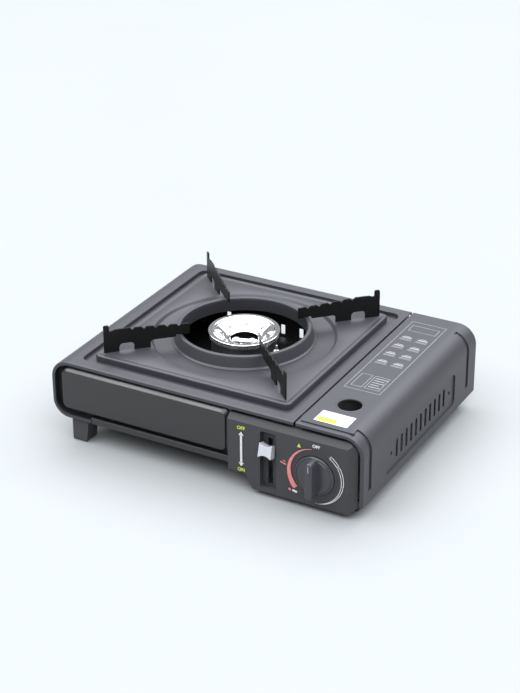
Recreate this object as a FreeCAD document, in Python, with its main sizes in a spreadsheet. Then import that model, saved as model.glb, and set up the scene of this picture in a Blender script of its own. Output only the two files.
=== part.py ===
import FreeCAD, Part
import math
import os

import Sketcher

# A butane cassette stove. X runs to the right, Y to the back and Z up, in millimetres.
# The origin is on the table, under the middle of the stove and its knob.
# The pan burner and its drip tray are on the left, the cartridge bay under its lid on the right.

SIZES = [
    # Housing
    ("body_width", 340, "housing from left side to lid side"),
    ("body_depth", 260, "housing from front rim to rear rim"),
    ("knob_proud", 18, "knob grip in front of the front rim"),
    ("deck_height", 87, "top face of the deck above the table"),
    ("sheet", 1, "pressed steel of shell, lid, pans and panels"),
    ("gap", 0.3, "free space between neighbouring pieces"),
    ("floor_height", 25, "underside of the burner compartment"),
    ("bay_floor", 15, "underside of the cartridge bay"),
    ("top_round", 20, "radius from deck to side"),
    ("low_round", 18, "radius from side to underside"),
    ("rim", 3.5, "width of the folded rim at front and rear"),
    ("rim_edge", 1.4, "rounding of the outer rim edge"),
    ("underlap", 44, "how far the shell wraps under from the left"),
    ("inset", 6, "front and rear panels behind the rim"),
    # Burner and well
    ("well_left", 27, "tray recess from the left side"),
    ("well_right", 79, "tray recess from the lid's side"),
    ("well_rim", 12, "tray recess from the front and rear rims"),
    ("well_drop", 4, "depth of the recess"),
    ("well_round", 8, "corner radius of the recess"),
    ("well_hole", 76, "radius of the burner hole in the recess"),
    # Lid and its hinge
    ("lid_width", 69.5, "hinge axis to the lid's side face"),
    ("hinge_drop", 2.4, "hinge axis under the deck face"),
    ("hinge_pin", 0.8, "radius of the lid's hinge pins"),
    ("knuckle", 2.2, "radius of the lid's knuckles"),
    ("knuckle_length", 8, "length of each knuckle"),
    ("knuckle_inset", 14, "outer end of a knuckle from the rim"),
    ("ear", 1.3, "half width of the ear that holds a hinge pin"),
    ("ear_length", 4, "thickness of that ear along the pin"),
    ("pin_play", 0.04, "running clearance of pins and shafts"),
    ("lid_edge", 0.4, "lid sheet past the hinge axis"),
    ("sight_radius", 11.5, "finger and sight hole in the lid"),
    ("sight_left", 40.5, "sight hole from the lid's side face"),
    ("sight_back", 53, "sight hole behind the front rim"),
    ("bead_left", 67, "left end of the lid bead from the side face"),
    ("bead_right", 13, "right end of the lid bead from the side face"),
    ("bead_back", 5, "front of the lid bead behind the front rim"),
    ("bead_width", 4, "width of the lid bead"),
    ("bead_height", 1.2, "height of the lid bead"),
    ("groove_width", 6, "width of the two corner grooves"),
    ("groove_depth", 1.5, "depth of the corner grooves and vent recess"),
    ("groove_front", 11, "front groove behind the front rim"),
    ("groove_rear", 22, "rear groove before the rear rim"),
    ("groove_low", 28, "lower end of the grooves"),
    ("groove_top", 15, "upper end of the grooves from the side face"),
    ("vent_front", 49, "vent recess behind the front rim"),
    ("vent_length", 159, "length of the vent recess"),
    ("vent_low", 23.5, "lower edge of the vent recess"),
    ("vent_high", 58.5, "upper edge of the vent recess"),
    ("vent_round", 6, "corner radius of the vent recess"),
    ("slot_count", 11, "slots in the lid's side"),
    ("slot_pitch", 10.9, "spacing of those slots"),
    ("slot_width", 4.5, "width of a slot"),
    ("slot_low", 31.5, "lower end of the slots"),
    ("slot_high", 51, "upper end of the slots"),
    ("slot_first", 75, "first slot behind the front rim"),
    ("vent_hole", 2, "radius of the hole at each end of the slots"),
    ("vent_hole_pitch", 12.5, "that hole from the nearest slot"),
    ("label_width", 34, "blank label, left to right"),
    ("label_length", 20, "blank label, front to back"),
    ("label_right", 24, "blank label from the side face"),
    ("label_back", 13, "blank label behind the front rim"),
    ("label_thick", 0.3, "thickness of the label"),
    # Front, rear and base panels
    ("boss_left", 8, "raised front panel from the left side"),
    ("boss_low", 32.4, "raised front panel, lower edge"),
    ("boss_high", 80.4, "raised front panel, upper edge"),
    ("boss_round", 9, "corner radius of the raised panel"),
    ("boss_bevel", 4, "bevel at the raised panel's top edge"),
    ("boss_back", 0.5, "raised panel behind the rim"),
    ("seam", 1, "joint between raised panel and control panel"),
    ("band_high", 31.4, "top of the lower front band"),
    ("wall_gap", 0.6, "free space between rear panel and lid side"),
    ("rear_slots", 9, "slots in the rear panel"),
    ("rear_pitch", 22, "spacing of the rear slots"),
    ("rear_slot_width", 5, "width of a rear slot"),
    ("rear_slot_low", 30, "lower end of the rear slots"),
    ("rear_slot_high", 41, "upper end of the rear slots"),
    ("step_reach", 130, "floor step from the lid's side"),
    ("step_slope", 8, "run of the sloping step"),
    ("lip_in", 3, "base lip inside the lid's side"),
    ("lip_high", 29, "top of the base lip"),
    ("base_front", 9, "base pan behind the front rim"),
    ("base_rear", 8, "base pan before the rear rim"),
    # Feet
    ("foot_width", 19, "foot at the top"),
    ("foot_taper", 3.5, "how much narrower the foot is below"),
    ("foot_length", 18, "foot, front to back"),
    ("foot_left", 20, "left feet from the left side"),
    ("foot_right", 12, "right feet from the lid's side"),
    ("foot_edge", 3, "left front foot behind the front rim"),
    ("foot_inner", 14, "right front foot behind the front rim"),
    ("foot_round", 2.5, "rounding of the foot's lower edges"),
    ("screw_radius", 1.8, "shank of the small screws"),
    ("screw_head", 3.5, "head radius of the small screws"),
    ("head_height", 1.6, "head height of the small screws"),
    ("screw_length", 8, "length of the small screws"),
    ("screw_play", 0.15, "space round a screw"),
    # Drip tray, collar and pan supports
    ("tray_side", 9, "drip tray inside the recess, left and right"),
    ("tray_end", 10, "drip tray inside the recess, front and rear"),
    ("tray_round", 6, "corner radius of the drip tray"),
    ("tray_edge", 1.3, "rounding of the drip tray's top edge"),
    ("tray_above", 2.8, "drip tray face above the deck"),
    ("dish_margin", 16, "step of the tray's dish inside the tray's side"),
    ("dish_drop", 3.5, "depth of the dish"),
    ("dish_hole", 66.5, "hole of the drip tray"),
    ("collar_foot", 70, "collar radius at its foot"),
    ("collar_top", 67.5, "collar radius at its top"),
    ("collar_inner", 63, "inner radius of the collar's lip"),
    ("collar_above", 12.5, "collar lip above the deck"),
    ("collar_below", 2, "collar's inner wall below the deck"),
    ("arm_sheet", 1.5, "thickness of a pan support"),
    ("arm_reach", 142.3, "outer edge of a support from the burner axis"),
    ("arm_start", 56, "inner end of a support from the burner axis"),
    ("prong_above", 32, "top of the prongs above the deck"),
    ("prong_width", 5.7, "width of a prong"),
    ("prong_valley", 24.6, "notch beside the prong, above the deck"),
    ("land_out", 26.8, "support edge at its outer end, above the deck"),
    ("land_in", 23.4, "support edge at its inner end, above the deck"),
    ("tooth_count", 5, "notches in a support"),
    ("tooth_first", 113.3, "outermost notch from the burner axis"),
    ("tooth_pitch", 11.7, "spacing of the notches"),
    ("tooth_depth", 2.6, "depth of a notch"),
    ("tooth_half", 2.8, "half width of a notch"),
    ("hook_above", 12, "support's inner hook above the deck"),
    ("hook_width", 5.5, "width of the inner hook"),
    ("under_above", 10.5, "support's underside above the deck"),
    ("leg_inner", 95.5, "inner leg, inner edge"),
    ("leg_width", 16.5, "width of the inner leg"),
    ("window_width", 15, "window between the legs"),
    ("window_above", 11, "top of the window above the deck"),
    ("window_round", 4, "corner radius of the window"),
    # Burner
    ("cup_radius", 33, "burner cup"),
    ("cup_wall", 2.5, "wall of the burner cup"),
    ("cup_low", 54, "underside of the burner cup"),
    ("cup_above", 2.5, "cup's edge above the deck"),
    ("post_radius", 4.5, "post in the cup"),
    ("post_below", 6, "top of the post below the deck"),
    ("crown_teeth", 76, "flame ports round the burner"),
    ("crown_height", 4, "height of the port ring"),
    ("crown_inner", 30.8, "inner radius of the port ring"),
    ("crown_outer", 35, "outer radius of the port ring"),
    ("crown_notch", 1.5, "depth of a port"),
    ("cap_radius", 36, "outer radius of the burner cap"),
    ("cap_inner", 30.5, "inner radius of the cap's flat rim"),
    ("cap_above", 8, "top of the cap above the deck"),
    ("cap_below", 2, "cap's bottom ring below the deck"),
    ("cap_throat", 20, "radius where the cap's wall meets its bottom"),
    ("cap_hole", 14, "radius of the hole in the cap"),
    ("bar_length", 25, "bar in the burner's middle"),
    ("bar_width", 7, "width of that bar"),
    ("bar_thick", 2, "thickness of that bar"),
    ("bar_screw", 8, "bar screws from the burner axis"),
    ("bar_screw_shank", 1.2, "shank radius of the bar screws"),
    ("bar_screw_head", 2.6, "head radius of the bar screws"),
    ("bar_turn", 20, "turn of the bar, degrees"),
    ("stand_width", 44, "burner stand, left to right"),
    ("stand_length", 22, "burner stand, front to back"),
    ("stand_foot", 12, "length of the stand's feet"),
    ("stand_sheet", 1.5, "steel of the stand"),
    ("spark_out", 41, "electrode from the burner axis"),
    ("spark_turn", 10, "electrode forward of the burner's right side, degrees"),
    ("spark_low", 60, "lower end of the electrode's ceramic"),
    ("spark_length", 24, "length of the ceramic"),
    ("spark_radius", 3, "radius of the ceramic"),
    ("needle_radius", 0.9, "radius of the electrode wire"),
    ("needle_length", 36, "length of the electrode wire"),
    ("clip_low", 70, "underside of the electrode's clip"),
    ("clip_thick", 1.2, "thickness of that clip"),
    ("clip_width", 12, "width of that clip"),
    # Controls
    ("panel_proud", 3, "control panel in front of the rim"),
    ("panel_behind", 5, "control panel's edge behind the rim's face"),
    ("panel_reach", 140, "control panel's left edge from the lid's side"),
    ("panel_right", 7, "control panel's right edge from the lid's side"),
    ("panel_top", 79.4, "control panel's top edge"),
    ("panel_low", 5.4, "control panel's lower edge"),
    ("panel_step", 20, "lower edge left of the step"),
    ("panel_step_left", 19, "start of that step from the left edge"),
    ("panel_step_run", 7, "run of that step"),
    ("panel_step_top", 3.15, "upper part of that run"),
    ("panel_wall", 2.5, "wall of the control panel"),
    ("panel_corner", 10, "right corners of the control panel"),
    ("panel_bevel", 5, "bevel along the panel's top edge"),
    ("panel_side", 8, "width of the bevel along the panel's right edge"),
    ("panel_depth", 6, "depth of that bevel"),
    ("knob_side", 47.5, "knob axis from the lid's side"),
    ("knob_z", 38.9, "knob axis above the table"),
    ("knob_radius", 20, "dial of the knob"),
    ("dial_thick", 3, "thickness of the dial"),
    ("grip_width", 8.5, "width of the knob's grip"),
    ("grip_length", 39, "length of the knob's grip"),
    ("grip_round", 4.1, "rounding of the grip's ends"),
    ("dial_edge", 1, "rounding of the dial's edge"),
    ("ring_inner", 20.8, "inner radius of the ring round the knob"),
    ("ring_outer", 22.6, "outer radius of that ring"),
    ("ring_thick", 0.8, "height of that ring"),
    ("stem_radius", 3, "valve stem"),
    ("stem_in_knob", 9, "stem inside the knob"),
    ("cam_start", 8, "cam radius under the plunger at rest"),
    ("cam_rise", 4, "rise of the cam over the knob's turn"),
    ("cam_thick", 5, "thickness of the cam"),
    ("cam_hub", 5, "radius of the cam's hub"),
    ("cam_margin", 12, "cam past the knob's turn at both ends, degrees"),
    ("cam_back", 4, "front face of the cam behind the rim"),
    ("knob_turn", 135, "turn of the knob from off to ignite, degrees"),
    ("plunger_radius", 2, "igniter plunger"),
    ("plunger_length", 17, "length of the plunger"),
    ("plunger_nose", 1.8, "rounding of the plunger's tip"),
    ("igniter_width", 11, "igniter, left to right"),
    ("igniter_gap", 7, "plunger showing under the igniter"),
    ("igniter_high", 17.4, "height of the igniter"),
    ("plate_back", 12, "control bracket behind the rim"),
    ("plate_reach", 116, "control bracket's left edge from the lid's side"),
    ("plate_side", 10, "control bracket's right edge from the lid's side"),
    ("plate_high", 77, "top of the control bracket"),
    ("plate_flange", 10, "depth of the control bracket's foot"),
    ("lever_side", 97.5, "lever from the lid's side"),
    ("lever_back", 51, "lever's pivot behind the front rim"),
    ("lever_z", 35.9, "lever's pivot above the table"),
    ("cap_proud", 6.2, "middle of the lever's cap before the front rim"),
    ("lever_swing", 32, "swing of the lever, degrees"),
    ("lever_thick", 2.5, "steel of the lever"),
    ("lever_half", 3.5, "half height of the lever's arm"),
    ("lever_hub", 6.5, "radius of the lever's hub"),
    ("crank", 14, "crank pin above the lever's pivot"),
    ("crank_radius", 2, "radius of the crank pin"),
    ("crank_length", 5, "length of the crank pin"),
    ("pivot_radius", 2.5, "radius of the lever's pivot pin"),
    ("cap_width", 13.5, "lever cap, left to right"),
    ("cap_height", 14, "lever cap, top to bottom"),
    ("cap_waist", 2.6, "how far the cap's top and bottom are hollowed"),
    ("cap_depth", 9, "lever cap, front to back"),
    ("track_reach", 105.5, "lever recess's left edge from the lid's side"),
    ("track_width", 17, "width of the lever recess"),
    ("track_low", 9.4, "lower end of the lever recess"),
    ("track_high", 70.4, "upper end of the lever recess"),
    ("track_depth", 6.3, "depth of the lever recess"),
    ("track_round", 3, "corner radius of the lever recess"),
    ("track_wall", 2, "wall of the lever recess"),
    ("way_width", 5, "slot in the floor of the lever recess"),
    ("way_low", 12, "lower end of that slot"),
    ("way_high", 61.7, "upper end of that slot"),
    ("cheek_gap", 4.5, "lever bracket's cheeks from the lever's middle"),
    ("cheek_thick", 1.5, "thickness of those cheeks"),
    ("cheek_half", 9, "half length of those cheeks"),
    ("cheek_above", 5, "cheeks above the pivot"),
    # Gas train
    ("bay_side", 39.5, "cartridge axis from the lid's side"),
    ("bay_z", 51.3, "cartridge axis above the table"),
    ("wall_side", 76, "bay wall from the lid's side"),
    ("valve_side", 63, "regulator's left face from the lid's side"),
    ("valve_width", 42, "regulator, left to right"),
    ("valve_depth", 21, "regulator, front to back"),
    ("valve_low", 26, "regulator's underside"),
    ("valve_high", 72, "regulator's top"),
    ("dome_radius", 10, "regulator's diaphragm cover"),
    ("dome_thick", 7, "thickness of that cover"),
    ("rubber", 1, "thickness of the diaphragm"),
    ("inlet_radius", 6, "gas inlet"),
    ("inlet_length", 10, "length of the gas inlet"),
    ("inlet_shoulder", 4, "length of its wide part"),
    ("tip_radius", 2.4, "inlet's tip"),
    ("seal_wire", 1.2, "radius of the inlet seal's section"),
    ("jet_radius", 3.5, "gas jet"),
    ("jet_length", 11, "length of the gas jet"),
    ("jet_bore", 1.2, "radius of the jet's bore"),
    ("jet_bore_length", 8.8, "length of the jet's bore"),
    ("tube_z", 64, "mixing tube's axis above the table"),
    ("tube_back", 24, "mixing tube's axis behind the front rim"),
    ("tube_radius", 7, "mixing tube"),
    ("tube_wall", 1.2, "wall of the mixing tube"),
    ("tube_bend", 30, "bend radius of the mixing tube"),
    ("tube_start", 5, "end of the mixing tube from the regulator"),
    ("shutter_length", 9, "air shutter on the mixing tube"),
    ("shutter_wall", 0.8, "wall of the air shutter"),
    ("fork_back", 57, "clamp fork behind the front rim"),
    ("fork_thick", 2, "thickness of the clamp fork"),
    ("fork_low", 22, "lower edge of the clamp fork"),
    ("fork_bar_low", 45, "lower edge of the fork's bar"),
    ("fork_high", 56, "top of the clamp fork"),
    ("fork_half", 28, "half width of the clamp fork"),
    ("fork_notch", 17, "radius of the fork's notch"),
    ("fork_travel", 7.7, "travel of the clamp fork"),
    ("lug_half", 6, "half length of the fork's lug"),
    ("crank_play", 0.3, "play of the crank pin in its lug"),
    ("cradle_thick", 1, "cartridge cradle's sheet"),
    ("cradle_start", 62, "cradle behind the front rim"),
    ("cradle_high", 8, "height of the cradle's side guides"),
    ("cradle_half", 34.2, "half width between the cradle's guides"),
]

VALUES = {alias: value for alias, value, meaning in SIZES}


class Size:
    """A length, angle or count that keeps its value and how the sheet works it out."""

    def __init__(self, text, value):
        self.text = text
        self.value = value

    def __float__(self):
        return float(self.value)

    def __neg__(self):
        return Size(f"(-{self.text})", -self.value)

    def __add__(self, other):
        other = as_size(other)
        return Size(f"({self.text} + {other.text})", self.value + other.value)

    def __sub__(self, other):
        other = as_size(other)
        return Size(f"({self.text} - {other.text})", self.value - other.value)

    def __mul__(self, other):
        other = as_size(other)
        return Size(f"({self.text} * {other.text})", self.value * other.value)

    def __truediv__(self, other):
        other = as_size(other)
        return Size(f"({self.text} / {other.text})", self.value / other.value)

    def __radd__(self, other):
        return as_size(other) + self

    def __rsub__(self, other):
        return as_size(other) - self

    def __rmul__(self, other):
        return as_size(other) * self


def as_size(value):
    """The value itself, or a plain number as a size of its own."""
    if isinstance(value, Size):
        return value
    return Size(f"({value})", value)


def smaller(first, second):
    """The smaller of two sizes."""
    return Size(f"min({first.text}; {second.text})", min(first.value, second.value))


def sine(angle):
    """Sine of an angle in degrees."""
    return Size(f"sin({angle.text})", math.sin(math.radians(angle.value)))


def cosine(angle):
    """Cosine of an angle in degrees."""
    return Size(f"cos({angle.text})", math.cos(math.radians(angle.value)))


class Dims:
    """The cells of the spreadsheet, one attribute for each alias."""

    def __getattr__(self, alias):
        return Size(f"Dims.{alias}", VALUES[alias])


doc = FreeCAD.newDocument("CassetteStove")
sheet = doc.addObject("Spreadsheet::Sheet", "Dims")
for row, (alias, value, meaning) in enumerate(SIZES, start=1):
    sheet.set(f"A{row}", meaning)
    sheet.set(f"B{row}", str(value))
    sheet.setAlias(f"B{row}", alias)
doc.recompute()
D = Dims()
ZERO = as_size(0)
NODES = []

# Planes and axes that the pieces share
LEFT = -D.body_width / 2
RIGHT = D.body_width / 2
FRONT = (D.knob_proud - D.body_depth) / 2
BACK = (D.knob_proud + D.body_depth) / 2
MIDDLE = D.knob_proud / 2
DECK = D.deck_height
UNDER = D.deck_height - D.sheet
WELL_WIDTH = D.body_width - D.well_left - D.well_right
WELL_LENGTH = D.body_depth - 2 * D.well_rim
TRAY_WIDTH = WELL_WIDTH - 2 * D.tray_side
TRAY_LENGTH = WELL_LENGTH - 2 * D.tray_end
DISH = smaller(TRAY_WIDTH, TRAY_LENGTH) / 2 - D.dish_margin
BURNER_X = LEFT + D.well_left + WELL_WIDTH / 2
PANEL_LEFT = RIGHT - D.panel_reach
TRACK_LEFT = RIGHT - D.track_reach
LEVER_X = RIGHT - D.lever_side
KNOB_X = RIGHT - D.knob_side
BAY_X = RIGHT - D.bay_side
WALL_X = RIGHT - D.wall_side
STEP = RIGHT - D.step_reach
PLATE_LEFT = RIGHT - D.plate_reach
PLATE_RIGHT = RIGHT - D.plate_side
VALVE_LEFT = RIGHT - D.valve_side
LEVER_LENGTH = D.lever_back + D.cap_proud
HINGE_X = RIGHT - D.lid_width
HINGE_Z = DECK - D.hinge_drop
DECK_EDGE = HINGE_X - D.knuckle - D.lid_edge
PLATE = FRONT + D.plate_back
KNOB_BACK = FRONT - D.panel_proud - D.gap
DIAL = KNOB_BACK - D.dial_thick
GRIP = FRONT - D.knob_proud
FLOOR = D.floor_height + 2 * D.sheet
BAY = D.bay_floor + D.sheet
LEVER_Y = FRONT + D.lever_back
VALVE_Y = PLATE + D.stand_sheet
VALVE_BACK = VALVE_Y + D.valve_depth
WALL_BACK = WALL_X + D.sheet
TUBE_Y = FRONT + D.tube_back


def tie(thing, name, size):
    """Binds one property of an object to the sheet."""
    thing.setExpression(name, as_size(size).text)


def place(thing, point):
    """Binds an object's place to the sheet."""
    for letter, size in zip("xyz", point):
        tie(thing, f"Placement.Base.{letter}", size)


def node(thing, label):
    """Names a finished piece and adds it to what is written."""
    thing.Label = label
    NODES.append(thing)
    return thing


def new_body(label):
    """An empty body for one piece."""
    return node(doc.addObject("PartDesign::Body", label), label)


def box(name, low, high):
    """A block between two corners."""
    block = doc.addObject("Part::Box", name)
    for side, start, end in zip(("Length", "Width", "Height"), low, high):
        tie(block, side, end - start)
    place(block, low)
    return block


TURNS = {"x": (0, 1, 0, 90), "y": (1, 0, 0, -90), "z": (0, 0, 1, 0)}


def rod(name, axis, radius, start, length):
    """A round bar from a point along a positive axis."""
    bar = doc.addObject("Part::Cylinder", name)
    x, y, z, angle = TURNS[axis]
    bar.Placement.Rotation = FreeCAD.Rotation(FreeCAD.Vector(x, y, z), angle)
    tie(bar, "Radius", radius)
    tie(bar, "Height", length)
    place(bar, start)
    return bar


def joined(name, things):
    """Several solids as one."""
    whole = doc.addObject("Part::MultiFuse", name)
    whole.Shapes = things
    return whole


def minus(name, base, tool):
    """One solid less another."""
    rest = doc.addObject("Part::Cut", name)
    rest.Base = base
    rest.Tool = tool
    return rest


def tube(name, axis, outer, inner, start, length):
    """A round bar with a bore right through."""
    bar = rod(f"{name}_bar", axis, outer, start, length)
    bore = rod(f"{name}_bore", axis, inner, start, length)
    return minus(name, bar, bore)


def bind(drawing, kind, places, size):
    """Adds one dimension to a sketch and binds it to the sheet."""
    number = drawing.addConstraint(Sketcher.Constraint(kind, *places, float(size)))
    tie(drawing, f"Constraints[{number}]", size)


def fix_point(drawing, geometry, end, point):
    """Dimensions one point of a sketch from the sketch's origin."""
    bind(drawing, "DistanceX", (-1, 1, geometry, end), point[0])
    bind(drawing, "DistanceY", (-1, 1, geometry, end), point[1])


def corner_arc(before, corner, after, radius):
    """Centre and tangent points of the arc that rounds a corner, and whether it turns left."""
    back = (before - corner).normalize()
    ahead = (after - corner).normalize()
    half = back.getAngle(ahead) / 2
    reach = radius / math.tan(half)
    centre = corner + (back + ahead).normalize() * (radius / math.sin(half))
    left = back.cross(ahead).z < 0
    return centre, corner + back * reach, corner + ahead * reach, left


def outline(drawing, corners):
    """A closed outline of lines; a corner is (x, y), or (x, y, radius) where it is rounded."""
    corners = [tuple(as_size(size) for size in corner) for corner in corners]
    points = [FreeCAD.Vector(float(corner[0]), float(corner[1]), 0) for corner in corners]
    count = len(corners)
    starts = list(points)
    ends = list(points)
    arcs = {}
    for i, corner in enumerate(corners):
        if len(corner) == 3:
            arc = corner_arc(points[i - 1], points[i], points[(i + 1) % count], float(corner[2]))
            arcs[i] = arc
            ends[i] = arc[1]
            starts[i] = arc[2]
    lines = []
    for i in range(count):
        line = Part.LineSegment(starts[i], ends[(i + 1) % count])
        lines.append(drawing.addGeometry(line, False))
    for i, corner in enumerate(corners):
        before, after = lines[i - 1], lines[i]
        if i not in arcs:
            drawing.addConstraint(Sketcher.Constraint("Coincident", before, 2, after, 1))
            fix_point(drawing, after, 1, corner)
            continue
        centre, arrive, leave, left = arcs[i]
        first, last = (arrive, leave) if left else (leave, arrive)
        circle = Part.Circle(centre, FreeCAD.Vector(0, 0, 1), float(corner[2]))
        low = circle.parameter(first)
        high = circle.parameter(last)
        if high < low:
            high += 2 * math.pi
        arc = drawing.addGeometry(Part.ArcOfCircle(circle, low, high), False)
        point = drawing.addGeometry(Part.Point(points[i]), True)
        drawing.addConstraint(Sketcher.Constraint("Tangent", before, 2, arc, 1 if left else 2))
        drawing.addConstraint(Sketcher.Constraint("Tangent", arc, 2 if left else 1, after, 1))
        drawing.addConstraint(Sketcher.Constraint("PointOnObject", point, 1, before))
        drawing.addConstraint(Sketcher.Constraint("PointOnObject", point, 1, after))
        fix_point(drawing, point, 1, corner)
        bind(drawing, "Radius", (arc,), corner[2])


def ring(drawing, centre, radius):
    """A circle with its place and radius bound."""
    middle = FreeCAD.Vector(float(centre[0]), float(centre[1]), 0)
    circle = Part.Circle(middle, FreeCAD.Vector(0, 0, 1), float(radius))
    number = drawing.addGeometry(circle, False)
    fix_point(drawing, number, 3, centre)
    bind(drawing, "Radius", (number,), radius)


def sketch(body, plane, level, outlines=(), rings=()):
    """A sketch of outlines and circles on one of the body's planes, moved to a level."""
    drawing = body.newObject("Sketcher::SketchObject", f"{body.Name}_sketch")
    role = f"{plane}_Plane"
    origin = next(thing for thing in body.Origin.OriginFeatures if thing.Role == role)
    drawing.AttachmentSupport = (origin, [""])
    drawing.MapMode = "FlatFace"
    # The XZ plane faces the front, so its level counts towards -Y.
    tie(drawing, "AttachmentOffset.Base.z", -level if plane == "XZ" else level)
    for corners in outlines:
        outline(drawing, corners)
    for centre, radius in rings:
        ring(drawing, centre, radius)
    return drawing


def prism(body, plane, low, high, outlines=(), rings=()):
    """Adds the outlines as a pad between two levels."""
    drawing = sketch(body, plane, high if plane == "XZ" else low, outlines, rings)
    feature = body.newObject("PartDesign::Pad", f"{body.Name}_pad")
    feature.Profile = drawing
    tie(feature, "Length", high - low)
    return feature


def hollow(body, plane, low, high, outlines=(), rings=()):
    """Cuts the outlines out between two levels."""
    drawing = sketch(body, plane, low if plane == "XZ" else high, outlines, rings)
    feature = body.newObject("PartDesign::Pocket", f"{body.Name}_pocket")
    feature.Profile = drawing
    tie(feature, "Length", high - low)
    return feature


def turned(body, profile):
    """Adds a profile of radius and height turned about the body's Z axis."""
    drawing = sketch(body, "XZ", ZERO, [profile])
    feature = body.newObject("PartDesign::Revolution", f"{body.Name}_turned")
    feature.Profile = drawing
    feature.ReferenceAxis = (drawing, ["V_Axis"])
    feature.Angle = 360
    return feature


def row_of(body, feature, direction, pitch, count):
    """Repeats a feature along one of the body's axes."""
    pattern = body.newObject("PartDesign::LinearPattern", f"{body.Name}_row")
    pattern.Originals = [feature]
    axis = next(thing for thing in body.Origin.OriginFeatures if thing.Role == f"{direction}_Axis")
    pattern.Direction = (axis, [""])
    tie(pattern, "Length", pitch * (count - 1))
    tie(pattern, "Occurrences", count)
    body.Tip = pattern
    return pattern


def edges_where(feature, test):
    """Names of the edges of a feature whose ends and middle all pass a test."""
    doc.recompute()
    names = []
    for number, edge in enumerate(feature.Shape.Edges, start=1):
        middle = edge.valueAt((edge.FirstParameter + edge.LastParameter) / 2)
        points = [vertex.Point for vertex in edge.Vertexes] + [middle]
        if all(test(point) for point in points):
            names.append(f"Edge{number}")
    return names


def rounded(body, feature, test, radius):
    """Rounds the edges of a feature that pass a test."""
    fillet = body.newObject("PartDesign::Fillet", f"{body.Name}_round")
    fillet.Base = (feature, edges_where(feature, test))
    tie(fillet, "Radius", radius)
    return fillet


def bevelled(body, feature, test, size):
    """Bevels the edges of a feature that pass a test."""
    chamfer = body.newObject("PartDesign::Chamfer", f"{body.Name}_bevel")
    chamfer.Base = (feature, edges_where(feature, test))
    tie(chamfer, "Size", size)
    return chamfer


NEAR = 0.01


def near(value, size):
    """Whether a coordinate lies at a size."""
    return abs(value - float(size)) < NEAR


def rectangle(low, high, radius=None):
    """Corners of an upright rectangle, rounded if a radius is given."""
    corners = [(low[0], low[1]), (high[0], low[1]), (high[0], high[1]), (low[0], high[1])]
    if radius is None:
        return corners
    return [(x, y, radius) for x, y in corners]


def square_at(centre, size_x, size_y, radius=None):
    """Corners of a rectangle about its middle."""
    low = (centre[0] - size_x / 2, centre[1] - size_y / 2)
    high = (centre[0] + size_x / 2, centre[1] + size_y / 2)
    return rectangle(low, high, radius)


# Housing


def shell_band(thickness):
    """Section of the shell's wrap in XZ: deck, left side and underside, to a given depth."""
    return [
        (DECK_EDGE, DECK),
        (LEFT, DECK, D.top_round),
        (LEFT, D.floor_height, D.low_round),
        (LEFT + D.underlap, D.floor_height),
        (LEFT + D.underlap, D.floor_height + thickness),
        (LEFT + thickness, D.floor_height + thickness, D.low_round - thickness),
        (LEFT + thickness, DECK - thickness, D.top_round - thickness),
        (DECK_EDGE, DECK - thickness),
    ]


def left_feet():
    """Screw places of the two left feet."""
    x = LEFT + D.foot_left + D.foot_width / 2 - D.foot_taper / 2
    half = D.foot_length / 2
    return [(x, FRONT + D.foot_edge + half), (x, BACK - D.foot_edge - half)]


def right_feet():
    """Screw places of the two right feet."""
    x = RIGHT - D.foot_right - D.foot_width / 2 + D.foot_taper / 2
    half = D.foot_length / 2
    return [(x, FRONT + D.foot_inner + half), (x, BACK - D.foot_inner - half)]


def build_shell():
    """Pressed shell: deck with the drip tray's recess, left side and wrapped underside."""
    body = new_body("body_shell")
    band = prism(body, "XZ", FRONT, BACK, [shell_band(D.sheet)])
    prism(body, "XZ", FRONT, FRONT + D.sheet, [shell_band(D.rim)])
    rims = prism(body, "XZ", BACK - D.sheet, BACK, [shell_band(D.rim)])

    def outer_rim(point):
        on_rim = near(point.y, FRONT) or near(point.y, BACK)
        low_left = point.x < float(LEFT + D.low_round + D.gap)
        outside = near(point.z, DECK) or near(point.x, LEFT) or near(point.z, D.floor_height)
        arc = low_left and corner_distance(point) > float(D.low_round) - NEAR
        return on_rim and (outside or arc)

    rounded(body, rims, outer_rim, D.rim_edge)
    middle = (BURNER_X, MIDDLE)
    floor = DECK - D.well_drop
    wall = 2 * D.sheet
    outer = square_at(middle, WELL_WIDTH + wall, WELL_LENGTH + wall, D.well_round + D.sheet)
    inner = square_at(middle, WELL_WIDTH, WELL_LENGTH, D.well_round)
    prism(body, "XY", floor - D.sheet, UNDER + D.sheet / 2, [outer])
    hollow(body, "XY", floor, DECK + D.sheet, [inner])
    hollow(body, "XY", floor - 2 * D.sheet, floor + D.sheet, rings=[(middle, D.well_hole)])
    lip_end = D.inset + D.sheet + D.gap
    lip = rectangle((DECK_EDGE - D.sheet, FRONT + lip_end), (DECK_EDGE, BACK - lip_end))
    prism(body, "XY", UNDER - D.rim, UNDER + D.sheet / 2, [lip])
    holes = [(place_xy, D.screw_radius + D.screw_play) for place_xy in left_feet()]
    hollow(body, "XY", D.floor_height - D.sheet, FLOOR, rings=holes)
    return band


def corner_distance(point):
    """Distance of a point from the nearer of the left side's two rounding centres."""
    upper = (float(LEFT + D.top_round), float(DECK - D.top_round), float(D.top_round))
    lower = (float(LEFT + D.low_round), float(D.floor_height + D.low_round), float(D.low_round))
    x, z, radius = upper if point.z > (float(DECK) + float(D.floor_height)) / 2 else lower
    return math.hypot(point.x - x, point.z - z) - radius + float(D.low_round)


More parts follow.
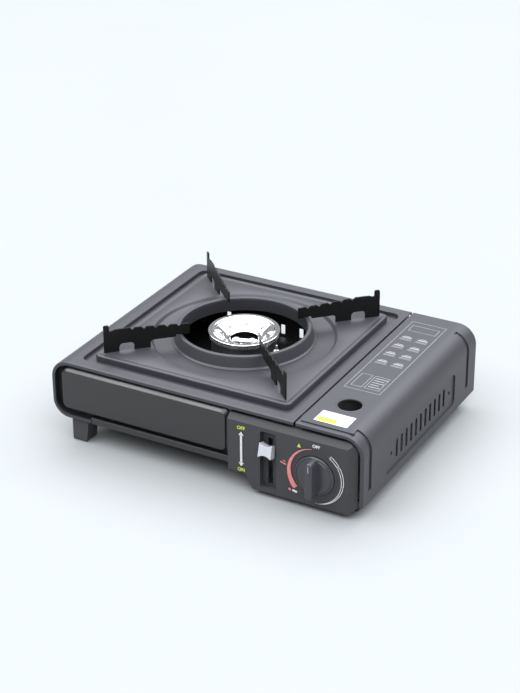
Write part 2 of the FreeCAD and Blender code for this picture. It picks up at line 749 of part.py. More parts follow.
def build_front_panel():
    """Front panel: a sheet behind the rim with a raised field and a lower band."""
    body = new_body("front_panel")
    face = FRONT + D.inset
    edge = D.sheet + D.gap
    right = PANEL_LEFT
    plate = [
        (LEFT + edge, D.floor_height + D.sheet, D.low_round),
        (right, D.floor_height + D.sheet),
        (right, UNDER - D.gap),
        (LEFT + edge, UNDER - D.gap, D.top_round),
    ]
    prism(body, "XZ", face, face + D.sheet, [plate])
    low = (LEFT + D.boss_left, D.boss_low)
    high = (right - D.seam, D.boss_high)
    outer = FRONT + D.boss_back
    root = face + D.sheet / 2
    boss = prism(body, "XZ", outer, root, [rectangle(low, high, D.boss_round)])

    def top_edge(point):
        return near(point.y, outer) and near(point.z, D.boss_high)

    bevelled(body, boss, top_edge, D.boss_bevel)
    band_low = (LEFT + D.underlap + D.gap, D.floor_height)
    prism(body, "XZ", outer, root, [rectangle(band_low, (right, D.band_high))])
    inner_low = (low[0] + 2 * D.sheet, low[1] + 2 * D.sheet)
    inner_high = (high[0] - 2 * D.sheet, high[1] - D.boss_bevel - D.sheet)
    inner = rectangle(inner_low, inner_high, D.boss_round - 2 * D.sheet)
    hollow(body, "XZ", outer + D.sheet, face + 2 * D.sheet, [inner])


def build_rear_panel():
    """Rear panel: a sheet inside the rear rim that also closes the cartridge bay, with slots."""
    body = new_body("rear_panel")
    face = BACK - D.inset
    edge = D.sheet + D.gap
    right = RIGHT - D.sheet - D.wall_gap
    plate = [
        (LEFT + edge, D.floor_height + D.sheet, D.low_round),
        (STEP - D.gap, D.floor_height + D.sheet),
        (STEP + D.step_slope - D.gap, D.bay_floor),
        (right, D.bay_floor),
        (right, UNDER - D.gap, D.top_round),
        (LEFT + edge, UNDER - D.gap, D.top_round),
    ]
    prism(body, "XZ", face - D.sheet, face, [plate])
    reach = D.knuckle + D.sheet
    notch = rectangle((HINGE_X - reach, HINGE_Z - reach), (HINGE_X + reach, DECK))
    hollow(body, "XZ", face - 2 * D.sheet, face + D.sheet, [notch])
    first = BURNER_X - D.rear_pitch * (D.rear_slots - 1) / 2
    low = (first - D.rear_slot_width / 2, D.rear_slot_low)
    high = (first + D.rear_slot_width / 2, D.rear_slot_high)
    slot = hollow(body, "XZ", face - 2 * D.sheet, face + D.sheet, [rectangle(low, high)])
    row_of(body, slot, "X", D.rear_pitch, D.rear_slots)


def build_base():
    """Base pan: the burner compartment's floor, a step down and the cartridge bay's floor."""
    body = new_body("base_pan")
    upper = D.floor_height + D.sheet
    right = RIGHT - D.lip_in
    section = [
        (LEFT + D.low_round, upper),
        (STEP, upper),
        (STEP + D.step_slope, D.bay_floor),
        (right, D.bay_floor),
        (right, D.lip_high),
        (right - D.sheet, D.lip_high),
        (right - D.sheet, BAY),
        (STEP + D.step_slope + D.sheet, BAY),
        (STEP + D.sheet, upper + D.sheet),
        (LEFT + D.low_round, upper + D.sheet),
    ]
    prism(body, "XZ", FRONT + D.base_front, BACK - D.base_rear, [section])
    holes = [(xy, D.screw_radius + D.screw_play) for xy in left_feet() + right_feet()]
    hollow(body, "XY", D.bay_floor - D.sheet, FLOOR + D.sheet, rings=holes)


def build_wall():
    """Wall between burner and cartridge, with the ears that hold the lid's hinge pins."""
    body = new_body("bay_wall")
    start = VALVE_Y + D.gap
    end = BACK - D.base_rear
    top = UNDER - D.gap
    prism(body, "YZ", WALL_X, WALL_BACK, [rectangle((start, BAY), (end, top))])
    low = HINGE_Z - D.knuckle - 2 * D.ear
    crown = D.ear - D.pin_play / 2
    arm = [
        (WALL_X, low),
        (HINGE_X + D.ear, low),
        (HINGE_X + D.ear, HINGE_Z + D.ear, crown),
        (HINGE_X - D.ear, HINGE_Z + D.ear, crown),
        (HINGE_X - D.ear, low + D.ear),
        (WALL_X, low + D.ear),
    ]
    for ear_low, ear_high in ear_spans():
        prism(body, "XZ", ear_low, ear_high, [arm])
    bore = D.hinge_pin + D.pin_play / 2
    hollow(body, "XZ", start, end, rings=[((HINGE_X, HINGE_Z), bore)])
    passage = [((TUBE_Y, D.tube_z), D.tube_radius + D.gap)]
    fork_low = (FRONT + D.fork_back - D.fork_travel - D.gap, D.fork_bar_low - D.gap)
    fork_high = (FRONT + D.fork_back + D.fork_thick + D.gap, D.fork_high + D.gap)
    way = rectangle(fork_low, fork_high)
    hollow(body, "YZ", WALL_X - D.sheet, WALL_BACK + D.sheet, [way], passage)


def knuckle_spans():
    """Both knuckles of the lid along Y."""
    front = FRONT + D.knuckle_inset
    back = BACK - D.knuckle_inset
    return [(front, front + D.knuckle_length), (back - D.knuckle_length, back)]


def ear_spans():
    """Both ears of the bay wall along Y, inboard of the knuckles."""
    front, back = knuckle_spans()
    inner_front = front[1] + D.gap
    inner_back = back[0] - D.gap
    return [(inner_front, inner_front + D.ear_length), (inner_back - D.ear_length, inner_back)]


def build_hinge_pins():
    """Two pins that carry the lid."""
    pins = []
    for number, (knuckle, ear) in enumerate(zip(knuckle_spans(), ear_spans()), start=1):
        start = ear[0] if number == 2 else knuckle[0]
        length = D.knuckle_length + D.gap + D.ear_length
        pins.append(rod(f"pin_{number}", "y", D.hinge_pin, (HINGE_X, start, HINGE_Z), length))
    group = doc.addObject("Part::Compound", "hinge_pins")
    group.Links = pins
    node(group, "lid_hinge_pins")


def lid_band(outer, inner, start, low):
    """Section of the lid's wrap between two depths under its outer face."""
    return [
        (start, DECK - outer),
        (RIGHT - outer, DECK - outer, D.top_round - outer),
        (RIGHT - outer, low),
        (RIGHT - inner, low),
        (RIGHT - inner, DECK - inner, D.top_round - inner),
        (start, DECK - inner),
    ]


def build_lid():
    """Cartridge lid: top and right side in one sheet, with rims, knuckles, grooves and vents."""
    body = new_body("cartridge_lid")
    start = HINGE_X - D.lid_edge
    whole = lid_band(ZERO, D.sheet, start, D.bay_floor)
    prism(body, "XZ", FRONT, BACK, [whole])
    rim = lid_band(ZERO, D.rim, start, D.bay_floor)
    prism(body, "XZ", FRONT, FRONT + D.sheet, [rim])
    rims = prism(body, "XZ", BACK - D.sheet, BACK, [rim])

    def outer_rim(point):
        on_rim = near(point.y, FRONT) or near(point.y, BACK)
        x = point.x - float(RIGHT - D.top_round)
        z = point.z - float(DECK - D.top_round)
        outside = near(point.z, DECK) or near(point.x, RIGHT) or near(math.hypot(x, z), D.top_round)
        return on_rim and outside

    rounded(body, rims, outer_rim, D.rim_edge)
    for low, high in knuckle_spans():
        prism(body, "XZ", low, high, rings=[((HINGE_X, HINGE_Z), D.knuckle)])
    bore = D.hinge_pin + D.pin_play
    hollow(body, "XZ", FRONT + 2 * D.sheet, BACK - 2 * D.sheet, rings=[((HINGE_X, HINGE_Z), bore)])
    groove_start = RIGHT - D.groove_top
    for middle in (FRONT + D.groove_front + D.groove_width / 2, BACK - D.groove_rear):
        low = middle - D.groove_width / 2
        high = middle + D.groove_width / 2
        floor_depth = D.groove_depth + D.sheet
        floor_low = D.groove_low - D.sheet
        floor_band = lid_band(D.sheet / 2, floor_depth, groove_start - D.sheet, floor_low)
        prism(body, "XZ", low - D.sheet, high + D.sheet, [floor_band])
        cut_band = lid_band(-D.sheet, D.groove_depth, groove_start, D.groove_low)
        hollow(body, "XZ", low, high, [cut_band])
    vent_low = (FRONT + D.vent_front, D.vent_low)
    vent_high = (FRONT + D.vent_front + D.vent_length, D.vent_high)
    wall_low = (vent_low[0] - D.sheet, vent_low[1] - D.sheet)
    wall_high = (vent_high[0] + D.sheet, vent_high[1] + D.sheet)
    inner = RIGHT - D.groove_depth - D.sheet
    wall = rectangle(wall_low, wall_high, D.vent_round + D.sheet)
    recess = rectangle(vent_low, vent_high, D.vent_round)
    prism(body, "YZ", inner, RIGHT - D.sheet / 2, [wall])
    hollow(body, "YZ", RIGHT - D.groove_depth, RIGHT + D.sheet, [recess])
    centre = (RIGHT - D.sight_left, FRONT + D.sight_back)
    hollow(body, "XY", UNDER - D.sheet, DECK + D.sheet, rings=[(centre, D.sight_radius)])
    bead_low = (RIGHT - D.bead_left, FRONT + D.bead_back)
    bead_high = (RIGHT - D.bead_right, FRONT + D.bead_back + D.bead_width)
    prism(body, "XY", UNDER + D.sheet / 2, DECK + D.bead_height, [rectangle(bead_low, bead_high)])
    first = FRONT + D.slot_first
    last = first + D.slot_pitch * (D.slot_count - 1)
    height = (D.slot_low + D.slot_high) / 2
    end_gap = D.vent_hole_pitch
    ends = [((first - end_gap, height), D.vent_hole), ((last + end_gap, height), D.vent_hole)]
    hollow(body, "YZ", inner - D.sheet, RIGHT + D.sheet, rings=ends)
    low = (first - D.slot_width / 2, D.slot_low)
    high = (first + D.slot_width / 2, D.slot_high)
    slot = hollow(body, "YZ", inner - D.sheet, RIGHT + D.sheet, [rectangle(low, high)])
    row_of(body, slot, "Y", D.slot_pitch, D.slot_count)


def build_label():
    """Blank label on the lid."""
    right = RIGHT - D.label_right
    front = FRONT + D.label_back
    low = (right - D.label_width, front, DECK)
    high = (right, front + D.label_length, DECK + D.label_thick)
    node(box("label", low, high), "lid_label")


def build_foot(label, centre, top, mirrored):
    """One foot: narrower below, outer side upright, with a blind hole for its screw."""
    body = new_body(label)
    half = D.foot_width / 2 - D.foot_taper / 2
    side = -1 if mirrored else 1
    outer = centre[0] - side * half
    inner = centre[0] + side * half
    flare = inner + side * D.foot_taper
    section = [(outer, ZERO), (inner, ZERO), (flare, top), (outer, top)]
    front = centre[1] - D.foot_length / 2
    back = centre[1] + D.foot_length / 2
    block = prism(body, "XZ", front, back, [section])

    def low_edge(point):
        on_side = near(point.y, front) or near(point.y, back) or near(point.x, inner)
        return near(point.z, ZERO) and on_side

    rounded(body, block, low_edge, D.foot_round)
    depth = D.screw_length
    hollow(body, "XY", top - depth, top + D.sheet, rings=[(centre, D.screw_radius + D.screw_play / 2)])


def screw(name, centre, seat):
    """One small screw with its head on a seat, pointing down."""
    x, y = centre
    shank_low = (x, y, seat - D.screw_length)
    shank = rod(f"{name}_shank", "z", D.screw_radius, shank_low, D.screw_length)
    head = rod(f"{name}_head", "z", D.screw_head, (x, y, seat), D.head_height)
    return joined(name, [shank, head])


def build_feet():
    """Four feet and their screws."""
    left = left_feet()
    right = right_feet()
    build_foot("foot_front_left", left[0], D.floor_height, False)
    build_foot("foot_rear_left", left[1], D.floor_height, False)
    build_foot("foot_front_right", right[0], D.bay_floor, True)
    build_foot("foot_rear_right", right[1], D.bay_floor, True)
    screws = [screw(f"left_screw_{i}", xy, FLOOR) for i, xy in enumerate(left, start=1)]
    screws += [screw(f"right_screw_{i}", xy, BAY) for i, xy in enumerate(right, start=1)]
    group = doc.addObject("Part::Compound", "foot_screw_group")
    group.Links = screws
    node(group, "foot_screws")


# Drip tray with its collar and pan supports


def build_tray():
    """Square drip tray: turned-down skirt, round dish and a hole for the burner."""
    body = new_body("drip_tray")
    middle = (BURNER_X, MIDDLE)
    top = DECK + D.tray_above
    bottom = DECK - D.well_drop + D.gap
    block = prism(body, "XY", bottom, top, [square_at(middle, TRAY_WIDTH, TRAY_LENGTH, D.tray_round)])

    def top_edge(point):
        return near(point.z, top)

    rounded(body, block, top_edge, D.tray_edge)
    walls = 2 * D.sheet
    inner = square_at(middle, TRAY_WIDTH - walls, TRAY_LENGTH - walls, D.tray_round - D.sheet)
    hollow(body, "XY", bottom - D.sheet, top - D.sheet, [inner])
    dish_floor = top - D.dish_drop
    wall = [(middle, DISH + D.sheet)]
    prism(body, "XY", dish_floor - D.sheet, top - D.sheet / 2, rings=wall)
    hollow(body, "XY", dish_floor, top + D.sheet, rings=[(middle, DISH)])
    hollow(body, "XY", bottom - D.sheet, top + D.sheet, rings=[(middle, D.dish_hole)])


def build_collar():
    """Wind collar: a folded ring that stands in the dish."""
    body = new_body("wind_collar")
    foot = D.tray_above - D.dish_drop
    profile = [
        (D.collar_foot - D.sheet, foot),
        (D.collar_foot + 2 * D.sheet, foot),
        (D.collar_foot + 2 * D.sheet, foot + D.sheet),
        (D.collar_foot, foot + 2 * D.sheet, D.sheet / 2),
        (D.collar_top, D.collar_above, D.sheet),
        (D.collar_inner, D.collar_above, D.sheet),
        (D.collar_inner, -D.collar_below),
        (D.collar_inner + D.sheet, -D.collar_below),
        (D.collar_inner + D.sheet, D.collar_above - D.sheet),
        (D.collar_top - D.sheet, D.collar_above - D.sheet),
    ]
    turned(body, profile)
    place(body, (BURNER_X, MIDDLE, DECK))


def support_outline():
    """Side view of one pan support: distance from the burner axis, height above the deck."""
    outer = D.arm_reach
    inner = D.arm_start
    slope = (D.land_out - D.land_in) / (D.tooth_first - inner)

    def land(reach):
        return D.land_in + slope * (reach - inner)

    collar_in = D.collar_inner - 2 * D.sheet
    collar_out = D.collar_foot
    clear = D.collar_above + D.gap
    leg_out = D.leg_inner + D.leg_width
    window_out = leg_out + D.window_width
    bottom = D.tray_above
    prong = outer - D.prong_width
    points = [
        (D.leg_inner, bottom),
        (leg_out, bottom),
        (leg_out, D.window_above, D.window_round),
        (window_out, D.window_above, D.window_round),
        (window_out, bottom),
        (outer, bottom),
        (outer, D.prong_above, 0.3 * D.prong_width),
        (prong, D.prong_above, 0.3 * D.prong_width),
        (prong, D.prong_valley, 0.3 * D.prong_width),
        (prong - D.prong_width, D.land_out),
    ]
    for i in range(int(VALUES["tooth_count"])):
        reach = D.tooth_first - i * D.tooth_pitch
        points.append((reach + D.tooth_half, land(reach + D.tooth_half)))
        points.append((reach, land(reach) - D.tooth_depth))
        points.append((reach - D.tooth_half, land(reach - D.tooth_half)))
    points += [
        (inner, D.land_in),
        (inner, D.hook_above),
        (inner + D.hook_width, D.hook_above),
        (collar_in + D.gap, clear),
        (collar_out, clear),
        (collar_out, D.under_above),
        (D.leg_inner, D.under_above, 0.4 * (D.under_above - bottom)),
    ]
    return points


SUPPORTS = {
    "pan_support_rear_right": 45,
    "pan_support_rear_left": 135,
    "pan_support_front_left": 225,
    "pan_support_front_right": 315,
}


def build_supports():
    """Four toothed pan supports on the tray's diagonals."""
    for label, angle in SUPPORTS.items():
        body = new_body(label)
        half = D.arm_sheet / 2
        prism(body, "XZ", -half, half, [support_outline()])
        body.Placement.Rotation = FreeCAD.Rotation(FreeCAD.Vector(0, 0, 1), angle)
        place(body, (BURNER_X, MIDDLE, DECK))


# Burner


def build_cup():
    """Burner cup with its post and the mixing tube's port."""
    body = new_body("burner_cup")
    top = D.cup_above
    low = D.cup_low - DECK
    profile = [
        (ZERO, low),
        (D.cup_radius, low, D.cup_wall),
        (D.cup_radius, top),
        (D.cup_radius - D.cup_wall, top),
        (D.cup_radius - D.cup_wall, low + D.cup_wall),
        (D.post_radius, low + D.cup_wall),
        (D.post_radius, -D.post_below),
        (ZERO, -D.post_below),
    ]
    turned(body, profile)
    port = [((ZERO, D.tube_z - DECK), D.tube_radius + D.pin_play)]
    hollow(body, "XZ", -D.cup_radius - D.sheet, -D.cup_radius + 2 * D.cup_wall, rings=port)
    place(body, (BURNER_X, MIDDLE, DECK))


def build_crown():
    """Port ring: a toothed band under the cap, its teeth set out by a formula."""
    count = int(VALUES["crown_teeth"])
    outer = VALUES["crown_outer"]
    root = outer - VALUES["crown_notch"]
    step = 2 * math.pi / count
    points = []
    for i in range(count):
        for share, radius in ((0.0, root), (0.45, root), (0.5, outer), (0.95, outer)):
            angle = (i + share) * step
            points.append(FreeCAD.Vector(radius * math.cos(angle), radius * math.sin(angle), 0))
    points.append(points[0])
    face = Part.Face(Part.makePolygon(points))
    up = FreeCAD.Vector(0, 0, VALUES["crown_height"])
    bore = Part.makeCylinder(VALUES["crown_inner"], VALUES["crown_height"])
    crown = doc.addObject("Part::Feature", "crown")
    crown.Shape = face.extrude(up).cut(bore)
    place(crown, (BURNER_X, MIDDLE, DECK + D.cup_above))
    node(crown, "flame_ring")


def build_cap():
    """Burner cap: a pressed bowl with a flat rim and an open middle."""
    body = new_body("burner_cap")
    rim_low = D.cup_above + D.crown_height
    profile = [
        (D.cap_inner - D.sheet, rim_low),
        (D.cap_radius, rim_low),
        (D.cap_radius, D.cap_above, D.sheet / 2),
        (D.cap_inner, D.cap_above, D.sheet),
        (D.cap_throat, -D.cap_below + D.sheet, D.sheet),
        (D.cap_hole, -D.cap_below + D.sheet),
        (D.cap_hole, -D.cap_below),
        (D.cap_throat, -D.cap_below, D.sheet),
        (D.cap_inner - 2 * D.sheet, rim_low - D.sheet),
    ]
    turned(body, profile)
    place(body, (BURNER_X, MIDDLE, DECK))


def build_bar():
    """Bar in the burner's middle, on the post, and its two screws."""
    body = new_body("burner_bar")
    low = -D.post_below
    high = low + D.bar_thick
    prism(body, "XY", low, high, [square_at((ZERO, ZERO), D.bar_length, D.bar_width, D.bar_width / 4)])
    bore = D.bar_screw_shank + D.pin_play
    holes = [((side * D.bar_screw, ZERO), bore) for side in (-1, 1)]
    hollow(body, "XY", low - D.sheet, high + D.sheet, rings=holes)
    tie(body, "Placement.Rotation.Angle", D.bar_turn)
    place(body, (BURNER_X, MIDDLE, DECK))
    screws = []
    for number, side in enumerate((-1, 1), start=1):
        x = BURNER_X + side * D.bar_screw * cosine(D.bar_turn)
        y = MIDDLE + side * D.bar_screw * sine(D.bar_turn)
        shank_low = DECK + low - D.bar_thick
        shank_length = 2 * D.bar_thick
        shank = rod(f"bar_shank_{number}", "z", D.bar_screw_shank, (x, y, shank_low), shank_length)
        head = rod(f"bar_head_{number}", "z", D.bar_screw_head, (x, y, DECK + high), D.head_height)
        screws.append(joined(f"bar_screw_{number}", [shank, head]))
    group = doc.addObject("Part::Compound", "bar_screw_group")
    group.Links = screws
    node(group, "burner_screws")


def build_stand():
    """Stand that carries the burner cup on the base pan."""
    body = new_body("burner_stand")
    half = D.stand_width / 2
    steel = D.stand_sheet
    foot = D.stand_foot
    section = [
        (-half - foot, FLOOR),
        (-half, FLOOR),
        (-half, D.cup_low - steel),
        (half, D.cup_low - steel),
        (half, FLOOR),
        (half + foot, FLOOR),
        (half + foot, FLOOR + steel),
        (half + steel, FLOOR + steel),
        (half + steel, D.cup_low),
        (-half - steel, D.cup_low),
        (-half - steel, FLOOR + steel),
        (-half - foot, FLOOR + steel),
    ]
    prism(body, "XZ", -D.stand_length / 2, D.stand_length / 2, [section])
    place(body, (BURNER_X, MIDDLE, ZERO))


def build_electrode():
    """Ignition electrode: ceramic, wire and the clip that holds it to the burner cup."""
    x = BURNER_X + D.spark_out * cosine(D.spark_turn)
    y = MIDDLE - D.spark_out * sine(D.spark_turn)
    bore = D.needle_radius + D.pin_play / 2
    ceramic = tube("ceramic", "z", D.spark_radius, bore, (x, y, D.spark_low), D.spark_length)
    node(ceramic, "electrode_ceramic")
    start = D.spark_low - (D.needle_length - D.spark_length) / 2
    node(rod("needle", "z", D.needle_radius, (x, y, start), D.needle_length), "electrode_wire")
    body = new_body("electrode_clip")
    low = D.clip_low
    high = D.clip_low + D.clip_thick
    half = D.clip_width / 2
    reach = D.spark_out + D.spark_radius + 2 * D.sheet
    prism(body, "XY", low, high, [rectangle((D.cup_radius - D.cup_wall, -half), (reach, half), D.sheet)])
    hollow(body, "XY", low - D.sheet, high + D.sheet, rings=[((ZERO, ZERO), D.cup_radius + D.pin_play)])
    seat = [((D.spark_out, ZERO), D.spark_radius + D.pin_play / 2)]
    hollow(body, "XY", low - D.sheet, high + D.sheet, rings=seat)
    tie(body, "Placement.Rotation.Angle", -D.spark_turn)
    place(body, (BURNER_X, MIDDLE, ZERO))


# Controls


def wedge(face, edge, along, deep):
    """Corners of the wedge that bevels a front edge: depth first, then the other coordinate."""
    past = D.sheet
    return [
        (face - past, edge + along),
        (face, edge + along),
        (face + deep, edge),
        (face + deep, edge + past),
        (face - past, edge + past),
    ]


def build_control_panel():
    """Moulded control panel with the lever's recess, the knob's ring and screw bosses."""
    body = new_body("control_panel")
    face = FRONT - D.panel_proud
    back = FRONT + D.panel_behind
    left = PANEL_LEFT
    right = RIGHT - D.panel_right
    step = left + D.panel_step_left
    low = D.panel_low

    def contour(wall, corner):
        shoulder = D.panel_step_top
        return [
            (left + wall, D.panel_step + wall),
            (step + wall, D.panel_step + wall, shoulder),
            (step + D.panel_step_run + wall, low + wall, shoulder),
            (right - wall, low + wall, corner),
            (right - wall, D.panel_top - wall, corner),
            (left + wall, D.panel_top - wall),
        ]

    prism(body, "XZ", face, back, [contour(ZERO, D.panel_corner)])
    top = D.panel_top
    deep = face + D.panel_wall
    past = D.sheet
    side_start = right - D.panel_side
    hollow(body, "YZ", left - past, right + past, [wedge(face, top, -D.panel_bevel, D.panel_bevel)])
    side = [(x, y) for y, x in wedge(face, right, -D.panel_side, D.panel_depth)]
    hollow(body, "XY", low - past, top + past, [side])
    inner = contour(D.panel_wall, D.panel_corner - D.panel_wall)
    hollow(body, "XZ", face + D.panel_depth + D.panel_wall / 2, back + past, [inner])
    inner_left = step + D.panel_step_run + D.panel_wall
    inner_top = top - D.panel_bevel - D.panel_wall
    core = [
        (left + D.panel_wall, D.panel_step + D.panel_wall),
        (inner_left, D.panel_step + D.panel_wall),
        (inner_left, low + D.panel_wall),
        (side_start - D.panel_wall, low + D.panel_wall),
        (side_start - D.panel_wall, inner_top),
        (left + D.panel_wall, inner_top),
    ]
    hollow(body, "XZ", deep, back + past, [core])
    track_low = (TRACK_LEFT, D.track_low)
    track_high = (TRACK_LEFT + D.track_width, D.track_high)
    wall = D.track_wall
    outer_low = (track_low[0] - wall, track_low[1] - wall)
    outer_high = (track_high[0] + wall, track_high[1] + wall)
    bottom = face + D.track_depth
    prism(body, "XZ", face + D.sheet, bottom + wall, [rectangle(outer_low, outer_high)])
    hollow(body, "XZ", face - D.sheet, bottom, [rectangle(track_low, track_high, D.track_round)])
    way_half = D.way_width / 2
    way = rectangle((LEVER_X - way_half, D.way_low), (LEVER_X + way_half, D.way_high))
    hollow(body, "XZ", bottom - D.sheet, bottom + wall + D.sheet, [way])
    axis = (KNOB_X, D.knob_z)
    prism(body, "XZ", face - D.ring_thick, face + D.sheet, rings=[(axis, D.ring_inner), (axis, D.ring_outer)])
    for boss in panel_bosses():
        prism(body, "XZ", deep - D.sheet, PLATE, rings=[(boss, 2 * D.screw_radius)])
        hollow(body, "XZ", deep + D.sheet, PLATE + D.sheet, rings=[(boss, D.screw_radius + D.screw_play / 2)])
    hollow(body, "XZ", face - D.sheet, back + D.sheet, rings=[(axis, D.stem_radius + D.gap)])


def panel_bosses():
    """Places of the control panel's three screw bosses."""
    inner = 3 * D.screw_radius
    right = PLATE_RIGHT - inner
    high = D.plate_high - inner
    low = BAY + 2 * inner
    left = PLATE_LEFT + inner / 2
    return [(left, high), (right, high - inner), (right, low)]


def build_control_bracket():
    """Steel bracket on the base pan that holds panel, igniter and regulator."""
    body = new_body("control_bracket")
    back = PLATE + D.stand_sheet
    low = (PLATE_LEFT, BAY)
    high = (PLATE_RIGHT, D.plate_high)
    prism(body, "XZ", PLATE, back, [rectangle(low, high)])
    foot_low = (PLATE_LEFT, PLATE)
    foot_high = (WALL_X - D.gap, back + D.plate_flange)
    prism(body, "XY", BAY, BAY + D.stand_sheet, [rectangle(foot_low, foot_high)])
    lever_half = D.lever_thick / 2 + 2 * D.gap
    reach = D.lever_back - D.plate_back
    drop = reach * sine(D.lever_swing / 2) + D.lever_half + 2 * D.sheet
    slot_low = (LEVER_X - lever_half, D.lever_z - drop)
    slot_high = (LEVER_X + lever_half, D.lever_z + drop)
    holes = [((KNOB_X, D.knob_z), D.stem_radius + D.gap)]
    holes += [(boss, D.screw_radius + D.screw_play) for boss in panel_bosses()]
    hollow(body, "XZ", PLATE - D.sheet, back + D.sheet, [rectangle(slot_low, slot_high)], holes)


def build_panel_screws():
    """Three screws through the bracket into the control panel's bosses."""
    screws = []
    back = PLATE + D.stand_sheet
    for number, (x, z) in enumerate(panel_bosses(), start=1):
        tip = (x, back - D.screw_length, z)
        shank = rod(f"panel_shank_{number}", "y", D.screw_radius, tip, D.screw_length)
        head = rod(f"panel_head_{number}", "y", D.screw_head, (x, back, z), D.head_height)
        screws.append(joined(f"panel_screw_{number}", [shank, head]))
    group = doc.addObject("Part::Compound", "panel_screw_group")
    group.Links = screws
    node(group, "panel_screws")


def build_knob():
    """Knob: a dial with a bar grip and a blind bore for the valve stem."""
    body = new_body("control_knob")
    axis = (KNOB_X, D.knob_z)
    dial = prism(body, "XZ", DIAL, KNOB_BACK, rings=[(axis, D.knob_radius)])

    def dial_edge(point):
        return near(point.y, DIAL)

    rounded(body, dial, dial_edge, D.dial_edge)
    grip = square_at(axis, D.grip_width, D.grip_length, D.grip_round)
    bar = prism(body, "XZ", GRIP, DIAL + D.dial_thick / 2, [grip])

    def grip_edge(point):
        return near(point.y, GRIP)

    rounded(body, bar, grip_edge, D.grip_width / 8)
    bore = [(axis, D.stem_radius + D.pin_play / 2)]
    hollow(body, "XZ", KNOB_BACK - D.stem_in_knob, KNOB_BACK + D.sheet, rings=bore)


def build_stem():
    """Valve stem from the knob into the regulator."""
    start = KNOB_BACK - D.stem_in_knob + D.gap
    end = VALVE_BACK - 2 * D.sheet - D.gap
    node(rod("stem", "y", D.stem_radius, (KNOB_X, start, D.knob_z), end - start), "valve_stem")


def cam_radius(turned_by):
    """Cam radius under the plunger when the knob has turned by some degrees."""
    return VALUES["cam_start"] + VALUES["cam_rise"] * turned_by / VALUES["knob_turn"]


def build_cam():
    """Cam on the stem: a spiral that lifts the plunger at a steady rate as the knob turns."""
    margin = VALUES["cam_margin"]
    steps = 24
    spiral = []
    for i in range(steps + 1):
        turned_by = -margin + (VALUES["knob_turn"] + 2 * margin) * i / steps
        angle = math.radians(90 - turned_by)
        radius = cam_radius(turned_by)
        spiral.append(FreeCAD.Vector(radius * math.cos(angle), 0, radius * math.sin(angle)))
    curve = Part.BSplineCurve()
    curve.interpolate(spiral)
    hub = VALUES["cam_hub"]
    first = FreeCAD.Vector(spiral[0]).normalize() * hub
    last = FreeCAD.Vector(spiral[-1]).normalize() * hub
    around = math.radians((90 + margin + 90 - VALUES["knob_turn"] - margin) / 2 + 180)
    far = FreeCAD.Vector(hub * math.cos(around), 0, hub * math.sin(around))
    edges = [
        curve.toShape(),
        Part.makeLine(spiral[-1], last),
        Part.Arc(last, far, first).toShape(),
        Part.makeLine(first, spiral[0]),
    ]
    thick = FreeCAD.Vector(0, VALUES["cam_thick"], 0)
    bore = VALUES["stem_radius"] + VALUES["pin_play"] / 2
    hole = Part.makeCylinder(bore, VALUES["cam_thick"], FreeCAD.Vector(0, 0, 0), FreeCAD.Vector(0, 1, 0))
    cam = doc.addObject("Part::Feature", "cam")
    cam.Shape = Part.Face(Part.Wire(edges)).extrude(thick).cut(hole)
    place(cam, (KNOB_X, FRONT + D.cam_back, D.knob_z))
    node(cam, "igniter_cam")


def build_igniter():
    """Piezo igniter above the cam, and its plunger."""
    middle_y = FRONT + D.cam_back + D.cam_thick / 2
    tip = D.knob_z + D.cam_start + D.gap
    half = D.igniter_width / 2
    low = tip + D.igniter_gap
    low_corner = (KNOB_X - half, PLATE - D.igniter_width, low)
    high_corner = (KNOB_X + half, PLATE, low + D.igniter_high)
    block = box("igniter", low_corner, high_corner)
    depth = D.plunger_length - D.igniter_gap + D.cam_rise + D.sheet
    bore = rod("igniter_bore", "z", D.plunger_radius + D.pin_play, (KNOB_X, middle_y, low), depth)
    node(minus("igniter_housing", block, bore), "piezo_igniter")
    body = new_body("igniter_plunger")
    nose = D.plunger_nose
    profile = [
        (ZERO, ZERO),
        (D.plunger_radius, ZERO, nose),
        (D.plunger_radius, D.plunger_length),
        (ZERO, D.plunger_length),
    ]
    turned(body, profile)
    place(body, (KNOB_X, middle_y, tip))


def build_lever():
    """Locking lever on its pivot: arm, hub and crank pin; at rest its cap is at the top."""
    body = new_body("lock_lever")
    half = D.lever_thick / 2
    tip = -LEVER_LENGTH - D.cap_depth / 4
    arm = rectangle((tip, -D.lever_half), (ZERO, D.lever_half))
    prism(body, "YZ", -half, half, [arm])
    stem = rectangle((-D.lever_half, ZERO), (D.lever_half, D.crank))
    prism(body, "YZ", -half, half, [stem])
    prism(body, "YZ", -half, half, rings=[((ZERO, ZERO), D.lever_hub)])
    prism(body, "YZ", -half, half, rings=[((ZERO, D.crank), D.lever_half)])
    prism(body, "YZ", ZERO, half + D.crank_length, rings=[((ZERO, D.crank), D.crank_radius)])
    bore = [((ZERO, ZERO), D.pivot_radius + D.pin_play)]
    hollow(body, "YZ", -D.lever_thick, D.lever_thick, rings=bore)
    tilt_lever(body)


def tilt_lever(thing):
    """Turns a lever piece about its pivot to the rest position."""
    thing.Placement.Rotation = FreeCAD.Rotation(FreeCAD.Vector(1, 0, 0), 1)
    tie(thing, "Placement.Rotation.Angle", -D.lever_swing / 2)
    place(thing, (LEVER_X, LEVER_Y, D.lever_z))


